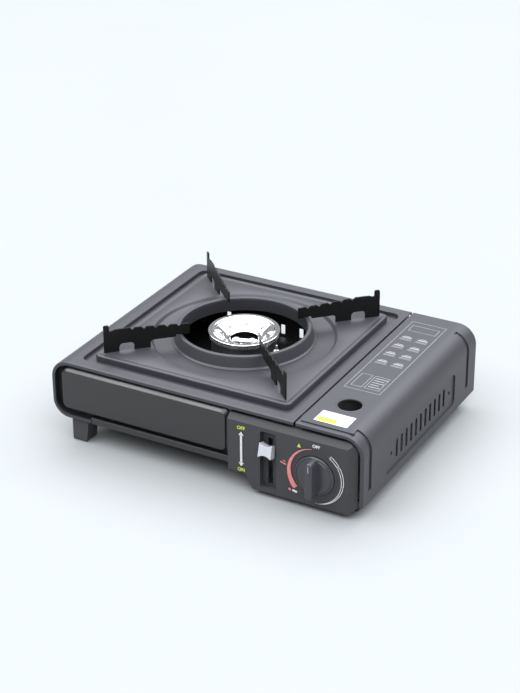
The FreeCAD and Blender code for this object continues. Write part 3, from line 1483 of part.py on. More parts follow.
def build_lever_cap():
    """Cap on the lever, hollowed at top and bottom for a fingertip."""
    body = new_body("lever_cap")
    half = D.cap_width / 2
    back = -LEVER_LENGTH + D.cap_depth / 2
    front = back - D.cap_depth
    side = D.cap_height / 2
    block = prism(body, "YZ", -half, half, [rectangle((front, -side), (back, side), D.sheet)])
    radius = (half * half + D.cap_waist * D.cap_waist) / (2 * D.cap_waist)
    centre = side - D.cap_waist + radius
    bites = [((ZERO, centre), radius), ((ZERO, -centre), radius)]
    hollow(body, "XZ", front - D.sheet, back + D.sheet, rings=bites)
    slot_half = D.lever_thick / 2 + D.pin_play
    slot_high = D.lever_half + D.pin_play
    slot_tip = -LEVER_LENGTH - D.cap_depth / 4 - D.gap
    slot = rectangle((slot_tip, -slot_high), (back + D.sheet, slot_high))
    hollow(body, "YZ", -slot_half, slot_half, [slot])
    tilt_lever(body)
    return block


def build_lever_bracket():
    """Two-cheeked bracket on the base pan, and the lever's pivot pin."""
    body = new_body("lever_bracket")
    half = D.cheek_gap + D.cheek_thick
    top = D.lever_z + D.cheek_above
    start = LEVER_Y - D.cheek_half
    end = LEVER_Y + D.cheek_half
    prism(body, "YZ", LEVER_X - half, LEVER_X + half, [rectangle((start, BAY), (end, top))])
    inside = rectangle((start - D.sheet, BAY + D.cheek_thick), (end + D.sheet, top + D.sheet))
    hollow(body, "YZ", LEVER_X - D.cheek_gap, LEVER_X + D.cheek_gap, [inside])
    bore = [((LEVER_Y, D.lever_z), D.pivot_radius + D.pin_play / 2)]
    hollow(body, "YZ", LEVER_X - half - D.sheet, LEVER_X + half + D.sheet, rings=bore)
    start_x = LEVER_X - half - D.sheet / 2
    pin = rod("pivot", "x", D.pivot_radius, (start_x, LEVER_Y, D.lever_z), 2 * half + D.sheet)
    node(pin, "lever_pivot_pin")


def build_fork():
    """Clamp fork: slides forward and pulls the cartridge onto the inlet."""
    body = new_body("clamp_fork")
    back = FRONT + D.fork_back
    lug_x = LEVER_X + D.lever_thick / 2 + D.sheet
    left = BAY_X - D.fork_half
    right = BAY_X + D.fork_half
    section = [
        (lug_x, D.fork_bar_low),
        (left, D.fork_bar_low),
        (left, D.fork_low),
        (right, D.fork_low),
        (right, D.fork_high),
        (lug_x, D.fork_high),
    ]
    prism(body, "XZ", back, back + D.fork_thick, [section])
    cut_front = back - D.sheet
    cut_back = back + D.fork_thick + D.sheet
    hollow(body, "XZ", cut_front, cut_back, rings=[((BAY_X, D.bay_z), D.fork_notch)])
    mouth_low = (BAY_X - D.fork_notch, D.bay_z)
    mouth_high = (BAY_X + D.fork_notch, D.fork_high + D.sheet)
    hollow(body, "XZ", cut_front, cut_back, [rectangle(mouth_low, mouth_high)])
    crank_y = LEVER_Y + D.crank * sine(D.lever_swing / 2)
    lug_low = (crank_y - D.lug_half, D.fork_bar_low)
    lug_high = (back + D.fork_thick / 2, D.fork_high)
    prism(body, "YZ", lug_x, lug_x + D.fork_thick, [rectangle(lug_low, lug_high)])
    play = D.crank_radius + D.crank_play
    rise = D.lever_z + D.crank
    slot_low = (crank_y - play, rise - D.crank_radius - 2 * D.sheet)
    slot_high = (crank_y + play, rise + D.crank_radius + D.sheet)
    hollow(body, "YZ", lug_x - D.sheet, lug_x + D.fork_thick + D.sheet, [rectangle(slot_low, slot_high)])


# Gas train


def build_regulator():
    """Regulator body with its stem bore, diaphragm and cover."""
    right = VALVE_LEFT + D.valve_width
    block = box("valve_block", (VALVE_LEFT, VALVE_Y, D.valve_low), (right, VALVE_BACK, D.valve_high))
    bore_length = D.valve_depth - 2 * D.sheet
    bore = rod("valve_bore", "y", D.stem_radius + D.pin_play, (KNOB_X, VALVE_Y, D.knob_z), bore_length)
    node(minus("valve_body", block, bore), "regulator_body")
    middle_y = VALVE_Y + D.valve_depth / 2
    middle_z = (D.valve_low + D.valve_high) / 2
    radius = D.dome_radius
    node(rod("rubber_disc", "x", radius, (right, middle_y, middle_z), D.rubber), "regulator_diaphragm")
    seat = (right + D.rubber, middle_y, middle_z)
    cover = rod("cover", "x", radius, seat, D.dome_thick)
    room = rod("cover_room", "x", radius - 3 * D.sheet, seat, D.dome_thick - 2 * D.sheet)
    node(minus("dome", cover, room), "regulator_cover")


def build_inlet():
    """Gas inlet that meets the cartridge's valve, and its seal."""
    body = new_body("gas_inlet")
    shoulder = D.inlet_shoulder
    profile = [
        (ZERO, ZERO),
        (D.inlet_radius, ZERO),
        (D.inlet_radius, shoulder),
        (D.tip_radius, shoulder),
        (D.tip_radius, D.inlet_length),
        (D.tip_radius / 2, D.inlet_length),
        (D.tip_radius / 2, D.sheet),
        (ZERO, D.sheet),
    ]
    turned(body, profile)
    body.Placement.Rotation = FreeCAD.Rotation(FreeCAD.Vector(1, 0, 0), -90)
    place(body, (BAY_X, VALVE_BACK, D.bay_z))
    seal = doc.addObject("Part::Torus", "seal")
    seal.Placement.Rotation = FreeCAD.Rotation(FreeCAD.Vector(1, 0, 0), -90)
    tie(seal, "Radius1", D.tip_radius + D.seal_wire + D.pin_play)
    tie(seal, "Radius2", D.seal_wire)
    place(seal, (BAY_X, VALVE_BACK + shoulder + D.seal_wire + D.pin_play, D.bay_z))
    node(seal, "inlet_seal")


def build_jet():
    """Gas jet on the regulator's left, pointing into the mixing tube."""
    start = VALVE_LEFT - D.jet_length
    bar = rod("jet_bar", "x", D.jet_radius, (start, TUBE_Y, D.tube_z), D.jet_length)
    bore = rod("jet_bore", "x", D.jet_bore, (start, TUBE_Y, D.tube_z), D.jet_bore_length)
    node(minus("jet", bar, bore), "gas_jet")


def build_tube():
    """Mixing tube: left from the jet, round one bend and back into the burner cup."""
    body = new_body("mixing_tube")
    start = VALVE_LEFT - D.tube_start
    end = MIDDLE - D.cup_radius + D.cup_wall
    path = body.newObject("Sketcher::SketchObject", "tube_path")
    plane = next(thing for thing in body.Origin.OriginFeatures if thing.Role == "XY_Plane")
    path.AttachmentSupport = (plane, [""])
    path.MapMode = "FlatFace"
    tie(path, "AttachmentOffset.Base.z", D.tube_z)
    corner = FreeCAD.Vector(float(BURNER_X), float(TUBE_Y), 0)
    first = FreeCAD.Vector(float(start), float(TUBE_Y), 0)
    last = FreeCAD.Vector(float(BURNER_X), float(end), 0)
    centre, arrive, leave, left = corner_arc(first, corner, last, float(D.tube_bend))
    run = path.addGeometry(Part.LineSegment(first, arrive), False)
    circle = Part.Circle(centre, FreeCAD.Vector(0, 0, 1), float(D.tube_bend))
    arc = path.addGeometry(Part.ArcOfCircle(circle, circle.parameter(leave), circle.parameter(arrive)), False)
    rise = path.addGeometry(Part.LineSegment(leave, last), False)
    path.addConstraint(Sketcher.Constraint("Tangent", run, 2, arc, 2))
    path.addConstraint(Sketcher.Constraint("Tangent", arc, 1, rise, 1))
    path.addConstraint(Sketcher.Constraint("Horizontal", run))
    path.addConstraint(Sketcher.Constraint("Vertical", rise))
    fix_point(path, run, 1, (start, TUBE_Y))
    fix_point(path, rise, 2, (BURNER_X, end))
    bind(path, "Radius", (arc,), D.tube_bend)
    axis = (TUBE_Y, D.tube_z)
    section = sketch(body, "YZ", start, rings=[(axis, D.tube_radius), (axis, D.tube_radius - D.tube_wall)])
    pipe = body.newObject("PartDesign::AdditivePipe", "tube_pipe")
    pipe.Profile = section
    pipe.Spine = (path, ["Edge1", "Edge2", "Edge3"])
    shutter_start = WALL_X - 2 * D.sheet - D.shutter_length
    outer = D.tube_radius + D.pin_play + D.shutter_wall
    start_point = (shutter_start, TUBE_Y, D.tube_z)
    bore = D.tube_radius + D.pin_play
    node(tube("shutter", "x", outer, bore, start_point, D.shutter_length), "air_shutter")


def build_cradle():
    """Cartridge cradle: a flat bed with two side guides on the bay's floor."""
    body = new_body("cartridge_cradle")
    inner = D.cradle_half
    outer = inner + D.cradle_thick
    bed = BAY + D.cradle_thick
    top = BAY + D.cradle_high
    x = BAY_X
    section = [
        (x - outer, BAY),
        (x + outer, BAY),
        (x + outer, top),
        (x + inner, top),
        (x + inner, bed),
        (x - inner, bed),
        (x - inner, top),
        (x - outer, top),
    ]
    prism(body, "XZ", FRONT + D.cradle_start, BACK - D.base_rear - D.gap, [section])
    hollow(body, "XY", BAY - D.sheet, bed + D.sheet, rings=[(right_feet()[1], D.screw_head + D.gap)])


build_shell()
build_front_panel()
build_rear_panel()
build_base()
build_wall()
build_hinge_pins()
build_lid()
build_label()
build_feet()
build_tray()
build_collar()
build_supports()
build_cup()
build_crown()
build_cap()
build_bar()
build_stand()
build_electrode()
build_control_panel()
build_control_bracket()
build_panel_screws()
build_knob()
build_stem()
build_cam()
build_igniter()
build_lever()
build_lever_cap()
build_lever_bracket()
build_fork()
build_regulator()
build_inlet()
build_jet()
build_tube()
build_cradle()

doc.recompute()

faults = [f"{thing.Name}: {thing.State}" for thing in doc.Objects if {"Invalid", "Error"} & set(thing.State)]
for thing in NODES:
    if thing.Shape.isNull() or not thing.Shape.isValid():
        faults.append(f"{thing.Label}: no valid shape")
    elif not thing.Shape.Solids:
        faults.append(f"{thing.Label}: no solid")
if faults:
    raise RuntimeError("; ".join(faults))

os.makedirs("parts", exist_ok=True)
for thing in NODES:
    thing.Shape.exportStep(f"parts/{thing.Label}.step")
    print(f"{thing.Label}: {len(thing.Shape.Solids)} solid(s), {thing.Shape.Volume:.0f} mm3")
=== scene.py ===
"""The looks of a butane cassette stove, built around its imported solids.

The frame gives every solid in metres: X to the right, Y to the back, Z up, with the
table at Z = 0. This script dresses each of them in a procedural finish, replaces the
ones whose form needs finer modelling, adds the printing, and sets the light and camera.
"""

import enum
import logging
import math
from dataclasses import dataclass, field
from typing import Any, Callable, Sequence

import bmesh
import bpy
import numpy as np
from mathutils import Matrix, Vector


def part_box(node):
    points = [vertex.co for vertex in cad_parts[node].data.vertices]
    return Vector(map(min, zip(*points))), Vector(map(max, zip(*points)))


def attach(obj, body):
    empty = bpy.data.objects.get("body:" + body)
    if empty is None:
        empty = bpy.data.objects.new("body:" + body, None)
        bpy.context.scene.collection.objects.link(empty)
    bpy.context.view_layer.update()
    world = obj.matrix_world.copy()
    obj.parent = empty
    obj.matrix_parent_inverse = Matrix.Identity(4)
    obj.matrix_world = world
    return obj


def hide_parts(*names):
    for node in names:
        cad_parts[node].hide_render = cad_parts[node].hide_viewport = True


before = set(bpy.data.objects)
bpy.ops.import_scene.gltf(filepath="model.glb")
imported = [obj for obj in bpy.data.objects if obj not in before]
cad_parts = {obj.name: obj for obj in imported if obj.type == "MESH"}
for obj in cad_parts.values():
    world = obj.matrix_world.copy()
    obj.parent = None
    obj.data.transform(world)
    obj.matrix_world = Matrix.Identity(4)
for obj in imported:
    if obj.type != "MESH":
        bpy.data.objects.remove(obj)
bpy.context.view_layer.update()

LOG = logging.getLogger("stove")
MM = 0.001
TURN = 2 * math.pi

Array = np.ndarray
Colour = tuple[float, float, float]
Triple = tuple[float, float, float]
Pair = tuple[float, float]
# The two curves that bound one printed band.
Strip = tuple[Array, Array]
# A number, a colour or a signal.
Value = Any
Material = bpy.types.Material
Piece = bpy.types.Object


class Body(enum.Enum):
    """The bodies of the stove that the new pieces ride on."""

    HOUSING = "housing"
    LID = "lid"
    KNOB = "knob"
    TRAY = "tray"


class Signal:
    """A shader socket that takes part in ordinary Python sums."""

    def __init__(self, graph: "Graph", socket: bpy.types.NodeSocket) -> None:
        """Wraps one output socket.

        Args:
            graph: the material that the socket belongs to.
            socket: the output socket.
        """
        self.graph = graph
        self.socket = socket

    def _sum(self, operation: str, first: Value, second: Value) -> "Signal":
        """One Math node on two values."""
        return self.graph.add("ShaderNodeMath", {"operation": operation}, {0: first, 1: second})

    def __add__(self, other: Value) -> "Signal":
        """This plus the other."""
        return self._sum("ADD", self, other)

    def __radd__(self, other: Value) -> "Signal":
        """The other plus this."""
        return self._sum("ADD", other, self)

    def __sub__(self, other: Value) -> "Signal":
        """This less the other."""
        return self._sum("SUBTRACT", self, other)

    def __mul__(self, other: Value) -> "Signal":
        """This times the other."""
        return self._sum("MULTIPLY", self, other)

    def above(self, edge: float) -> "Signal":
        """One where this is over the edge, otherwise nought."""
        return self._sum("GREATER_THAN", self, edge)

    def below(self, edge: float) -> "Signal":
        """One where this is under the edge, otherwise nought."""
        return self._sum("LESS_THAN", self, edge)

    def ramp(self, low: float, high: float) -> "Signal":
        """A smooth rise from nought at low to one at high."""
        settings = {"interpolation_type": "SMOOTHSTEP"}
        return self.graph.add("ShaderNodeMapRange", settings, {0: self, 1: low, 2: high})


class Graph:
    """One material's node tree, with a single method that adds any node."""

    def __init__(self, name: str) -> None:
        """Starts an empty material.

        Args:
            name: the material's name.
        """
        self.material = bpy.data.materials.new(name)
        self.material.use_nodes = True
        self.tree = self.material.node_tree
        self.tree.nodes.clear()

    def add(
        self, kind: str, settings: dict[str, Any], sockets: dict[Any, Value], out: Any = 0
    ) -> Signal:
        """Adds a node, sets it up and joins its sockets.

        Args:
            kind: the node's type.
            settings: its properties, set first.
            sockets: the values or signals of its inputs, by name or number.
            out: the output that is handed back, by name or number.

        Returns:
            The chosen output as a signal.
        """
        node = self.tree.nodes.new(kind)
        for key, value in settings.items():
            setattr(node, key, value)
        for key, value in sockets.items():
            if isinstance(value, Signal):
                self.tree.links.new(value.socket, node.inputs[key])
            elif isinstance(value, tuple) and len(value) == 3 and node.inputs[key].type == "RGBA":
                node.inputs[key].default_value = (*value, 1.0)
            else:
                node.inputs[key].default_value = value
        return Signal(self, node.outputs[out])

    def place(self) -> Signal:
        """The point on the piece, in metres."""
        return self.add("ShaderNodeTexCoord", {}, {}, "Object")

    def axis(self, number: int) -> Signal:
        """One coordinate of the point: 0 for X, 1 for Y, 2 for Z."""
        return self.add("ShaderNodeSeparateXYZ", {}, {0: self.place()}, number)

    def stretched(self, scale: Triple) -> Signal:
        """The point on the piece with each coordinate scaled."""
        settings = {"operation": "MULTIPLY"}
        return self.add("ShaderNodeVectorMath", settings, {0: self.place(), 1: scale})

    def noise(self, scale: float, detail: float = 3.0, vector: Signal | None = None) -> Signal:
        """Cloudy noise from nought to one, with that many lumps to the metre."""
        where = vector or self.place()
        return self.add("ShaderNodeTexNoise", {}, {"Vector": where, "Scale": scale, "Detail": detail})

    def specks(self, scale: float, size: float) -> Signal:
        """Small round specks: one inside a speck, nought between them."""
        cells = self.add("ShaderNodeTexVoronoi", {}, {"Vector": self.place(), "Scale": scale})
        return cells.below(size)

    def mix(self, factor: Value, first: Value, second: Value) -> Signal:
        """A colour between two, by a factor."""
        settings = {"data_type": "RGBA"}
        return self.add("ShaderNodeMix", settings, {0: factor, 6: first, 7: second}, 2)

    def bump(self, height: Signal, depth: float, strength: float = 1.0, edge: float = 0.0) -> Signal:
        """A normal tilted by a height, over edges rounded by a radius.

        Args:
            height: the relief, from nought to one.
            depth: how deep a height of one is, in metres.
            strength: how much of the relief shows.
            edge: the radius that sharp edges look rounded by, in metres.

        Returns:
            The normal.
        """
        sockets = {"Strength": strength, "Distance": depth, "Height": height}
        if edge:
            sockets["Normal"] = self.add("ShaderNodeBevel", {"samples": 6}, {"Radius": edge})
        return self.add("ShaderNodeBump", {}, sockets)

    def surface(self, **sockets: Value) -> Material:
        """Ends the material in one Principled shader.

        Args:
            **sockets: its inputs, with an underscore for each space.

        Returns:
            The finished material.
        """
        named = {key.replace("_", " "): value for key, value in sockets.items()}
        shader = self.add("ShaderNodeBsdfPrincipled", {}, named)
        self.add_output(shader)
        return self.material

    def add_output(self, shader: Signal) -> None:
        """Joins a shader to the material's output."""
        node = self.tree.nodes.new("ShaderNodeOutputMaterial")
        self.tree.links.new(shader.socket, node.inputs["Surface"])


@dataclass(frozen=True)
class Enamel:
    """Baked enamel on pressed steel: deep colour, a soft sheen and faint orange peel."""

    name: str
    colour: Colour
    roughness: float = 0.13
    peel: float = 0.08
    edge: float = 2.2 * MM
    coat: float = 0.7
    coat_roughness: float = 0.05
    gloss: float = 0.5
    dust: Colour = (0.42, 0.42, 0.43)

    def build(self) -> Material:
        """Colour clouds a little, smears change the sheen, and fine dust lies on it.

        Returns:
            The material.
        """
        graph = Graph(self.name)
        cloud = graph.noise(38.0, 4.0)
        fine = graph.noise(640.0, 2.0)
        dust = graph.specks(420.0, 0.07) * graph.noise(25.0).above(0.54)
        light = tuple(1.25 * part + 0.001 for part in self.colour)
        base = graph.mix(cloud, self.colour, light)
        dusty = graph.mix(dust * 0.35, base, self.dust)
        smear = graph.noise(1.0, 5.0, graph.stretched((22.0, 60.0, 30.0)))
        rough = self.roughness + smear.ramp(0.42, 0.75) * 0.07 + dust * 0.2
        normal = graph.bump(fine, 0.05 * MM, self.peel, self.edge)
        coat = {"Coat_Weight": self.coat, "Coat_Roughness": self.coat_roughness}
        coat["Specular_IOR_Level"] = self.gloss
        return graph.surface(Base_Color=dusty, Roughness=rough, Normal=normal, **coat)


@dataclass(frozen=True)
class Moulding:
    """Moulded plastic with a fine spark texture and softly rounded edges."""

    name: str
    colour: Colour
    roughness: float = 0.42
    grain: float = 900.0
    depth: float = 0.04 * MM
    edge: float = 0.6 * MM

    def build(self) -> Material:
        """A fine grain in the relief and a slow change in the sheen.

        Returns:
            The material.
        """
        graph = Graph(self.name)
        grain = graph.noise(self.grain, 2.0)
        cloud = graph.noise(45.0, 3.0)
        light = tuple(1.3 * part + 0.003 for part in self.colour)
        base = graph.mix(cloud, self.colour, light)
        rough = self.roughness + (cloud - 0.5) * 0.14
        normal = graph.bump(grain, self.depth, 0.5, self.edge)
        return graph.surface(Base_Color=base, Roughness=rough, Normal=normal)


@dataclass(frozen=True)
class Metal:
    """Bare or plated metal: bright, with fine brush lines along one axis."""

    name: str
    colour: Colour
    roughness: float = 0.3
    lines: Triple = (60.0, 60.0, 2400.0)
    relief: float = 0.3
    stain: float = 0.15
    edge: float = 0.3 * MM

    def build(self) -> Material:
        """Brush lines in the relief and sheen, and darker stains in patches.

        Returns:
            The material.
        """
        graph = Graph(self.name)
        brush = graph.noise(1.0, 3.0, graph.stretched(self.lines))
        patch = graph.noise(70.0, 4.0).ramp(0.45, 0.8)
        dark = tuple(0.55 * part for part in self.colour)
        base = graph.mix(patch * self.stain, self.colour, dark)
        rough = self.roughness + (brush - 0.5) * 0.16 + patch * self.stain * 0.4
        normal = graph.bump(brush, 0.02 * MM, self.relief, self.edge)
        return graph.surface(Base_Color=base, Metallic=1.0, Roughness=rough, Normal=normal)


@dataclass(frozen=True)
class Chrome:
    """Bright chrome plate with heat haze and fine wiping marks."""

    name: str
    colour: Colour = (0.82, 0.82, 0.83)
    roughness: float = 0.04
    straw: Colour = (0.66, 0.62, 0.55)

    def build(self) -> Material:
        """A mirror with faint haze, and a straw tint in patches.

        Returns:
            The material.
        """
        graph = Graph(self.name)
        haze = graph.noise(55.0, 4.0)
        wipe = graph.noise(1.0, 4.0, graph.stretched((90.0, 90.0, 400.0)))
        tint = graph.mix(haze.ramp(0.5, 0.85) * 0.3, self.colour, self.straw)
        rough = self.roughness + haze.ramp(0.4, 0.8) * 0.07 + wipe * 0.03
        return graph.surface(Base_Color=tint, Metallic=1.0, Roughness=rough)


@dataclass(frozen=True)
class Ceramic:
    """Glazed ceramic with a faint speckle."""

    name: str
    colour: Colour = (0.78, 0.76, 0.7)
    speckle: Colour = (0.42, 0.36, 0.28)

    def build(self) -> Material:
        """Pale glaze with fine brown specks.

        Returns:
            The material.
        """
        graph = Graph(self.name)
        speck = graph.specks(900.0, 0.16) * 0.4
        base = graph.mix(speck, self.colour, self.speckle)
        rough = 0.2 + graph.noise(120.0) * 0.12
        return graph.surface(Base_Color=base, Roughness=rough)


@dataclass(frozen=True)
class Ink:
    """Screen-printed ink: flat colour, slightly uneven."""

    name: str
    colour: Colour
    roughness: float = 0.5

    def build(self) -> Material:
        """Thin and thick places change the colour a little.

        Returns:
            The material.
        """
        graph = Graph(self.name)
        thin = tuple(0.8 * part for part in self.colour)
        base = graph.mix(graph.noise(700.0, 2.0).ramp(0.35, 0.7), thin, self.colour)
        rough = self.roughness + (graph.noise(300.0) - 0.5) * 0.1
        return graph.surface(Base_Color=base, Roughness=rough)


@dataclass(frozen=True)
class Sticker:
    """A blank glossy label: white, with one plain yellow band.

    The band's ends are shares of the label's width, and its sides are shares of its depth.
    """

    name: str
    low: Pair
    high: Pair
    band_left: float = 0.04
    band_right: float = 0.62
    band_front: float = 0.06
    band_rear: float = 0.42
    white: Colour = (0.50, 0.515, 0.52)
    bright_white: Colour = (0.54, 0.55, 0.56)
    yellow: Colour = (0.58, 0.54, 0.015)

    def build(self) -> Material:
        """The yellow band lies along the front edge, from the left end.

        Returns:
            The material.
        """
        graph = Graph(self.name)
        across, along = graph.axis(0), graph.axis(1)
        wide, deep = self.high[0] - self.low[0], self.high[1] - self.low[1]
        band = across.below(self.low[0] + self.band_right * wide)
        band = band * across.above(self.low[0] + self.band_left * wide)
        band = band * along.below(self.low[1] + self.band_rear * deep)
        band = band * along.above(self.low[1] + self.band_front * deep)
        paper = graph.mix(graph.noise(260.0), self.white, self.bright_white)
        base = graph.mix(band, paper, self.yellow)
        rough = 0.32 + graph.noise(90.0) * 0.12
        return graph.surface(Base_Color=base, Roughness=rough)


@dataclass(frozen=True)
class Table:
    """A plain pale table top, faintly mottled."""

    name: str = "table_top"
    colour: Colour = (0.265, 0.275, 0.282)

    def build(self) -> Material:
        """A slow change of tone, and a soft sheen.

        Returns:
            The material.
        """
        graph = Graph(self.name)
        deep = tuple(0.94 * part for part in self.colour)
        base = graph.mix(graph.noise(3.0, 3.0), deep, self.colour)
        rough = 0.55 + graph.noise(9.0) * 0.1
        return graph.surface(Base_Color=base, Roughness=rough)


class Finish(enum.Enum):
    """Every finish on the stove, and the solids that wear it are named in DRESS."""

    ENAMEL = Enamel("black_enamel", (0.006, 0.006, 0.007))
    SUPPORT = Enamel("support_enamel", (0.004, 0.004, 0.004), 0.4, 0.3, 0.5 * MM, 0.0, 0.3, 0.25)
    FRONT = Enamel("front_enamel", (0.008, 0.008, 0.009), 0.3, 0.15, 1.5 * MM, 0.3, 0.12)
    UNDER = Enamel("under_paint", (0.02, 0.02, 0.021), 0.5, 0.4, 0.6 * MM, 0.0, 0.4)
    PANEL = Moulding("panel_plastic", (0.007, 0.007, 0.008), 0.3)
    KNOB = Moulding("knob_plastic", (0.012, 0.013, 0.015), 0.24, 1200.0, 0.02 * MM, 0.7 * MM)
    FOOT = Moulding("foot_plastic", (0.016, 0.016, 0.018), 0.6)
    CAP = Moulding("cap_plastic", (0.34, 0.34, 0.37), 0.3, 1200.0, 0.02 * MM, 0.8 * MM)
    INNER = Moulding("inner_plastic", (0.05, 0.05, 0.055), 0.5)
    RUBBER = Moulding("black_rubber", (0.014, 0.014, 0.014), 0.75)
    ZINC = Metal("zinc_plate", (0.55, 0.56, 0.57), 0.34)
    STEEL = Metal("bright_steel", (0.68, 0.68, 0.68), 0.24)
    CASTING = Metal("burner_casting", (0.2, 0.2, 0.2), 0.5, (420.0, 420.0, 420.0), 0.8, 0.5)
    DIE_CAST = Metal("die_casting", (0.48, 0.49, 0.5), 0.42, (300.0, 300.0, 300.0), 0.5)
    BRASS = Metal("brass", (0.72, 0.53, 0.24), 0.27)
    CHROME = Chrome("bright_chrome")
    RING = Metal("ring_steel", (0.86, 0.86, 0.86), 0.4, (300.0, 300.0, 300.0), 0.2)
    CERAMIC = Ceramic("ceramic")
    WHITE_INK = Ink("white_ink", (0.62, 0.62, 0.63))
    GREY_INK = Ink("grey_ink", (0.26, 0.26, 0.27))
    LIME_INK = Ink("lime_ink", (0.50, 0.58, 0.10))
    RED_INK = Ink("red_ink", (0.60, 0.20, 0.19))

    def material(self) -> Material:
        """The finish's material, built the first time that it is asked for."""
        ready = bpy.data.materials.get(self.value.name)
        return ready or self.value.build()


CORNERS = ("front_left", "front_right", "rear_left", "rear_right")
DRESS: dict[Finish, Sequence[str]] = {
    Finish.ENAMEL: ("body_shell", "cartridge_lid", "drip_tray", "wind_collar", "rear_panel"),
    Finish.SUPPORT: [f"pan_support_{corner}" for corner in CORNERS],
    Finish.FRONT: ("front_panel",),
    Finish.UNDER: ("base_pan",),
    Finish.PANEL: ("control_panel",),
    Finish.KNOB: ("control_knob",),
    Finish.FOOT: [f"foot_{corner}" for corner in CORNERS],
    Finish.CAP: ("lever_cap",),
    Finish.INNER: ("igniter_cam", "piezo_igniter", "igniter_plunger"),
    Finish.RUBBER: ("regulator_diaphragm", "inlet_seal"),
    Finish.ZINC: (
        "bay_wall", "burner_stand", "control_bracket", "lever_bracket", "clamp_fork",
        "lock_lever", "cartridge_cradle", "electrode_clip", "air_shutter", "mixing_tube",
    ),
    Finish.STEEL: (
        "lid_hinge_pins", "foot_screws", "burner_screws", "burner_bar",
        "panel_screws", "valve_stem", "lever_pivot_pin", "electrode_wire",
    ),
    Finish.CASTING: ("burner_cup",),
    Finish.DIE_CAST: ("regulator_body", "regulator_cover"),
    Finish.BRASS: ("gas_inlet", "gas_jet"),
    Finish.CHROME: ("burner_cap",),
    Finish.RING: ("flame_ring",),
    Finish.CERAMIC: ("electrode_ceramic",),
}


def dress_solids() -> None:
    """Gives every solid of the frame its finish."""
    for finish, names in DRESS.items():
        for name in names:
            paint(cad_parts[name], finish.material())
    low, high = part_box("lid_label")
    label = Sticker("blank_sticker", (low.x, low.y), (high.x, high.y))
    paint(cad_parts["lid_label"], label.build())
    LOG.info("dressed %d solids", len(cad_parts))


def show(piece: Piece) -> None:
    """Puts a new object in the scene."""
    bpy.context.scene.collection.objects.link(piece)


def paint(piece: Piece, material: Material) -> None:
    """Puts one material in every slot of a piece."""
    piece.data.materials.clear()
    piece.data.materials.append(material)


def quads(rows: int, columns: int, loop: bool, ring: bool) -> Array:
    """Corner numbers of the faces of a grid of points.

    Args:
        rows: rows of points.
        columns: points in a row.
        loop: joins the last row to the first.
        ring: joins the last point of each row to its first.

    Returns:
        One line of four point numbers for each face.
    """
    index = np.arange(rows * columns).reshape(rows, columns)
    if loop:
        index = np.concatenate([index, index[:1]])
    if ring:
        index = np.concatenate([index, index[:, :1]], axis=1)
    corners = [index[:-1, :-1], index[:-1, 1:], index[1:, 1:], index[1:, :-1]]
    return np.stack(corners, axis=-1).reshape(-1, 4)


def softened(corners: Array, radius: float, steps: int = 6) -> Array:
    """A closed outline with its corners rounded.

    Each corner becomes the quadratic curve (1-t)(1-t)A + 2t(1-t)C + t*t*B from a point A
    before the corner C to a point B after it, both a radius away, or half a side at most.

    Args:
        corners: the outline's corners, one line each.
        radius: how far from the corner the rounding starts.
        steps: points on each rounding.

    Returns:
        The points of the rounded outline.
    """

    def reach(side: Array) -> Array:
        """The points on the sides where the roundings start or end."""
        length = np.linalg.norm(side, axis=1, keepdims=True)
        return corners + side / length * np.minimum(radius, 0.48 * length)

    start = reach(np.roll(corners, 1, axis=0) - corners)[:, None]
    end = reach(np.roll(corners, -1, axis=0) - corners)[:, None]
    t = np.linspace(0, 1, steps)[None, :, None]
    curve = (1 - t) ** 2 * start + 2 * t * (1 - t) * corners[:, None] + t**2 * end
    return curve.reshape(-1, corners.shape[1])


def squared_radius(angle: Array, half_x: Array, half_y: Array, corner: Array) -> Array:
    """How far a rounded rectangle's edge is from its middle, at each angle.

    On a flat side it is the nearer of half_x / cos and half_y / sin. Past the start of the
    corner it is the far root of |R d - C| = corner, with d the direction and C the arc's centre.

    Args:
        angle: the angles.
        half_x: half the width of each row's rectangle.
        half_y: half the length of each row's rectangle.
        corner: the corner radius of each row's rectangle.

    Returns:
        One radius for each row and angle.
    """
    across = np.maximum(np.abs(np.cos(angle)), 1e-9)
    along = np.maximum(np.abs(np.sin(angle)), 1e-9)
    flat = np.minimum(half_x / across, half_y / along)
    centre_x, centre_y = half_x - corner, half_y - corner
    in_corner = (flat * across > centre_x) & (flat * along > centre_y)
    reach = centre_x * across + centre_y * along
    inside = np.maximum(reach**2 - centre_x**2 - centre_y**2 + corner**2, 0.0)
    return np.where(in_corner, reach + np.sqrt(inside), flat)


def divided(outline: Array, count: int) -> Array:
    """A closed outline read off again at evenly spaced points along its length.

    Args:
        outline: the outline's points, one line each.
        count: how many points to read off.

    Returns:
        The evenly spaced points.
    """
    closed = np.concatenate([outline, outline[:1]])
    step = np.linalg.norm(np.diff(closed, axis=0), axis=1)
    length = np.concatenate([[0.0], np.cumsum(step)])
    where = np.linspace(0, length[-1], count, endpoint=False)
    return np.stack([np.interp(where, length, column) for column in closed.T], axis=-1)


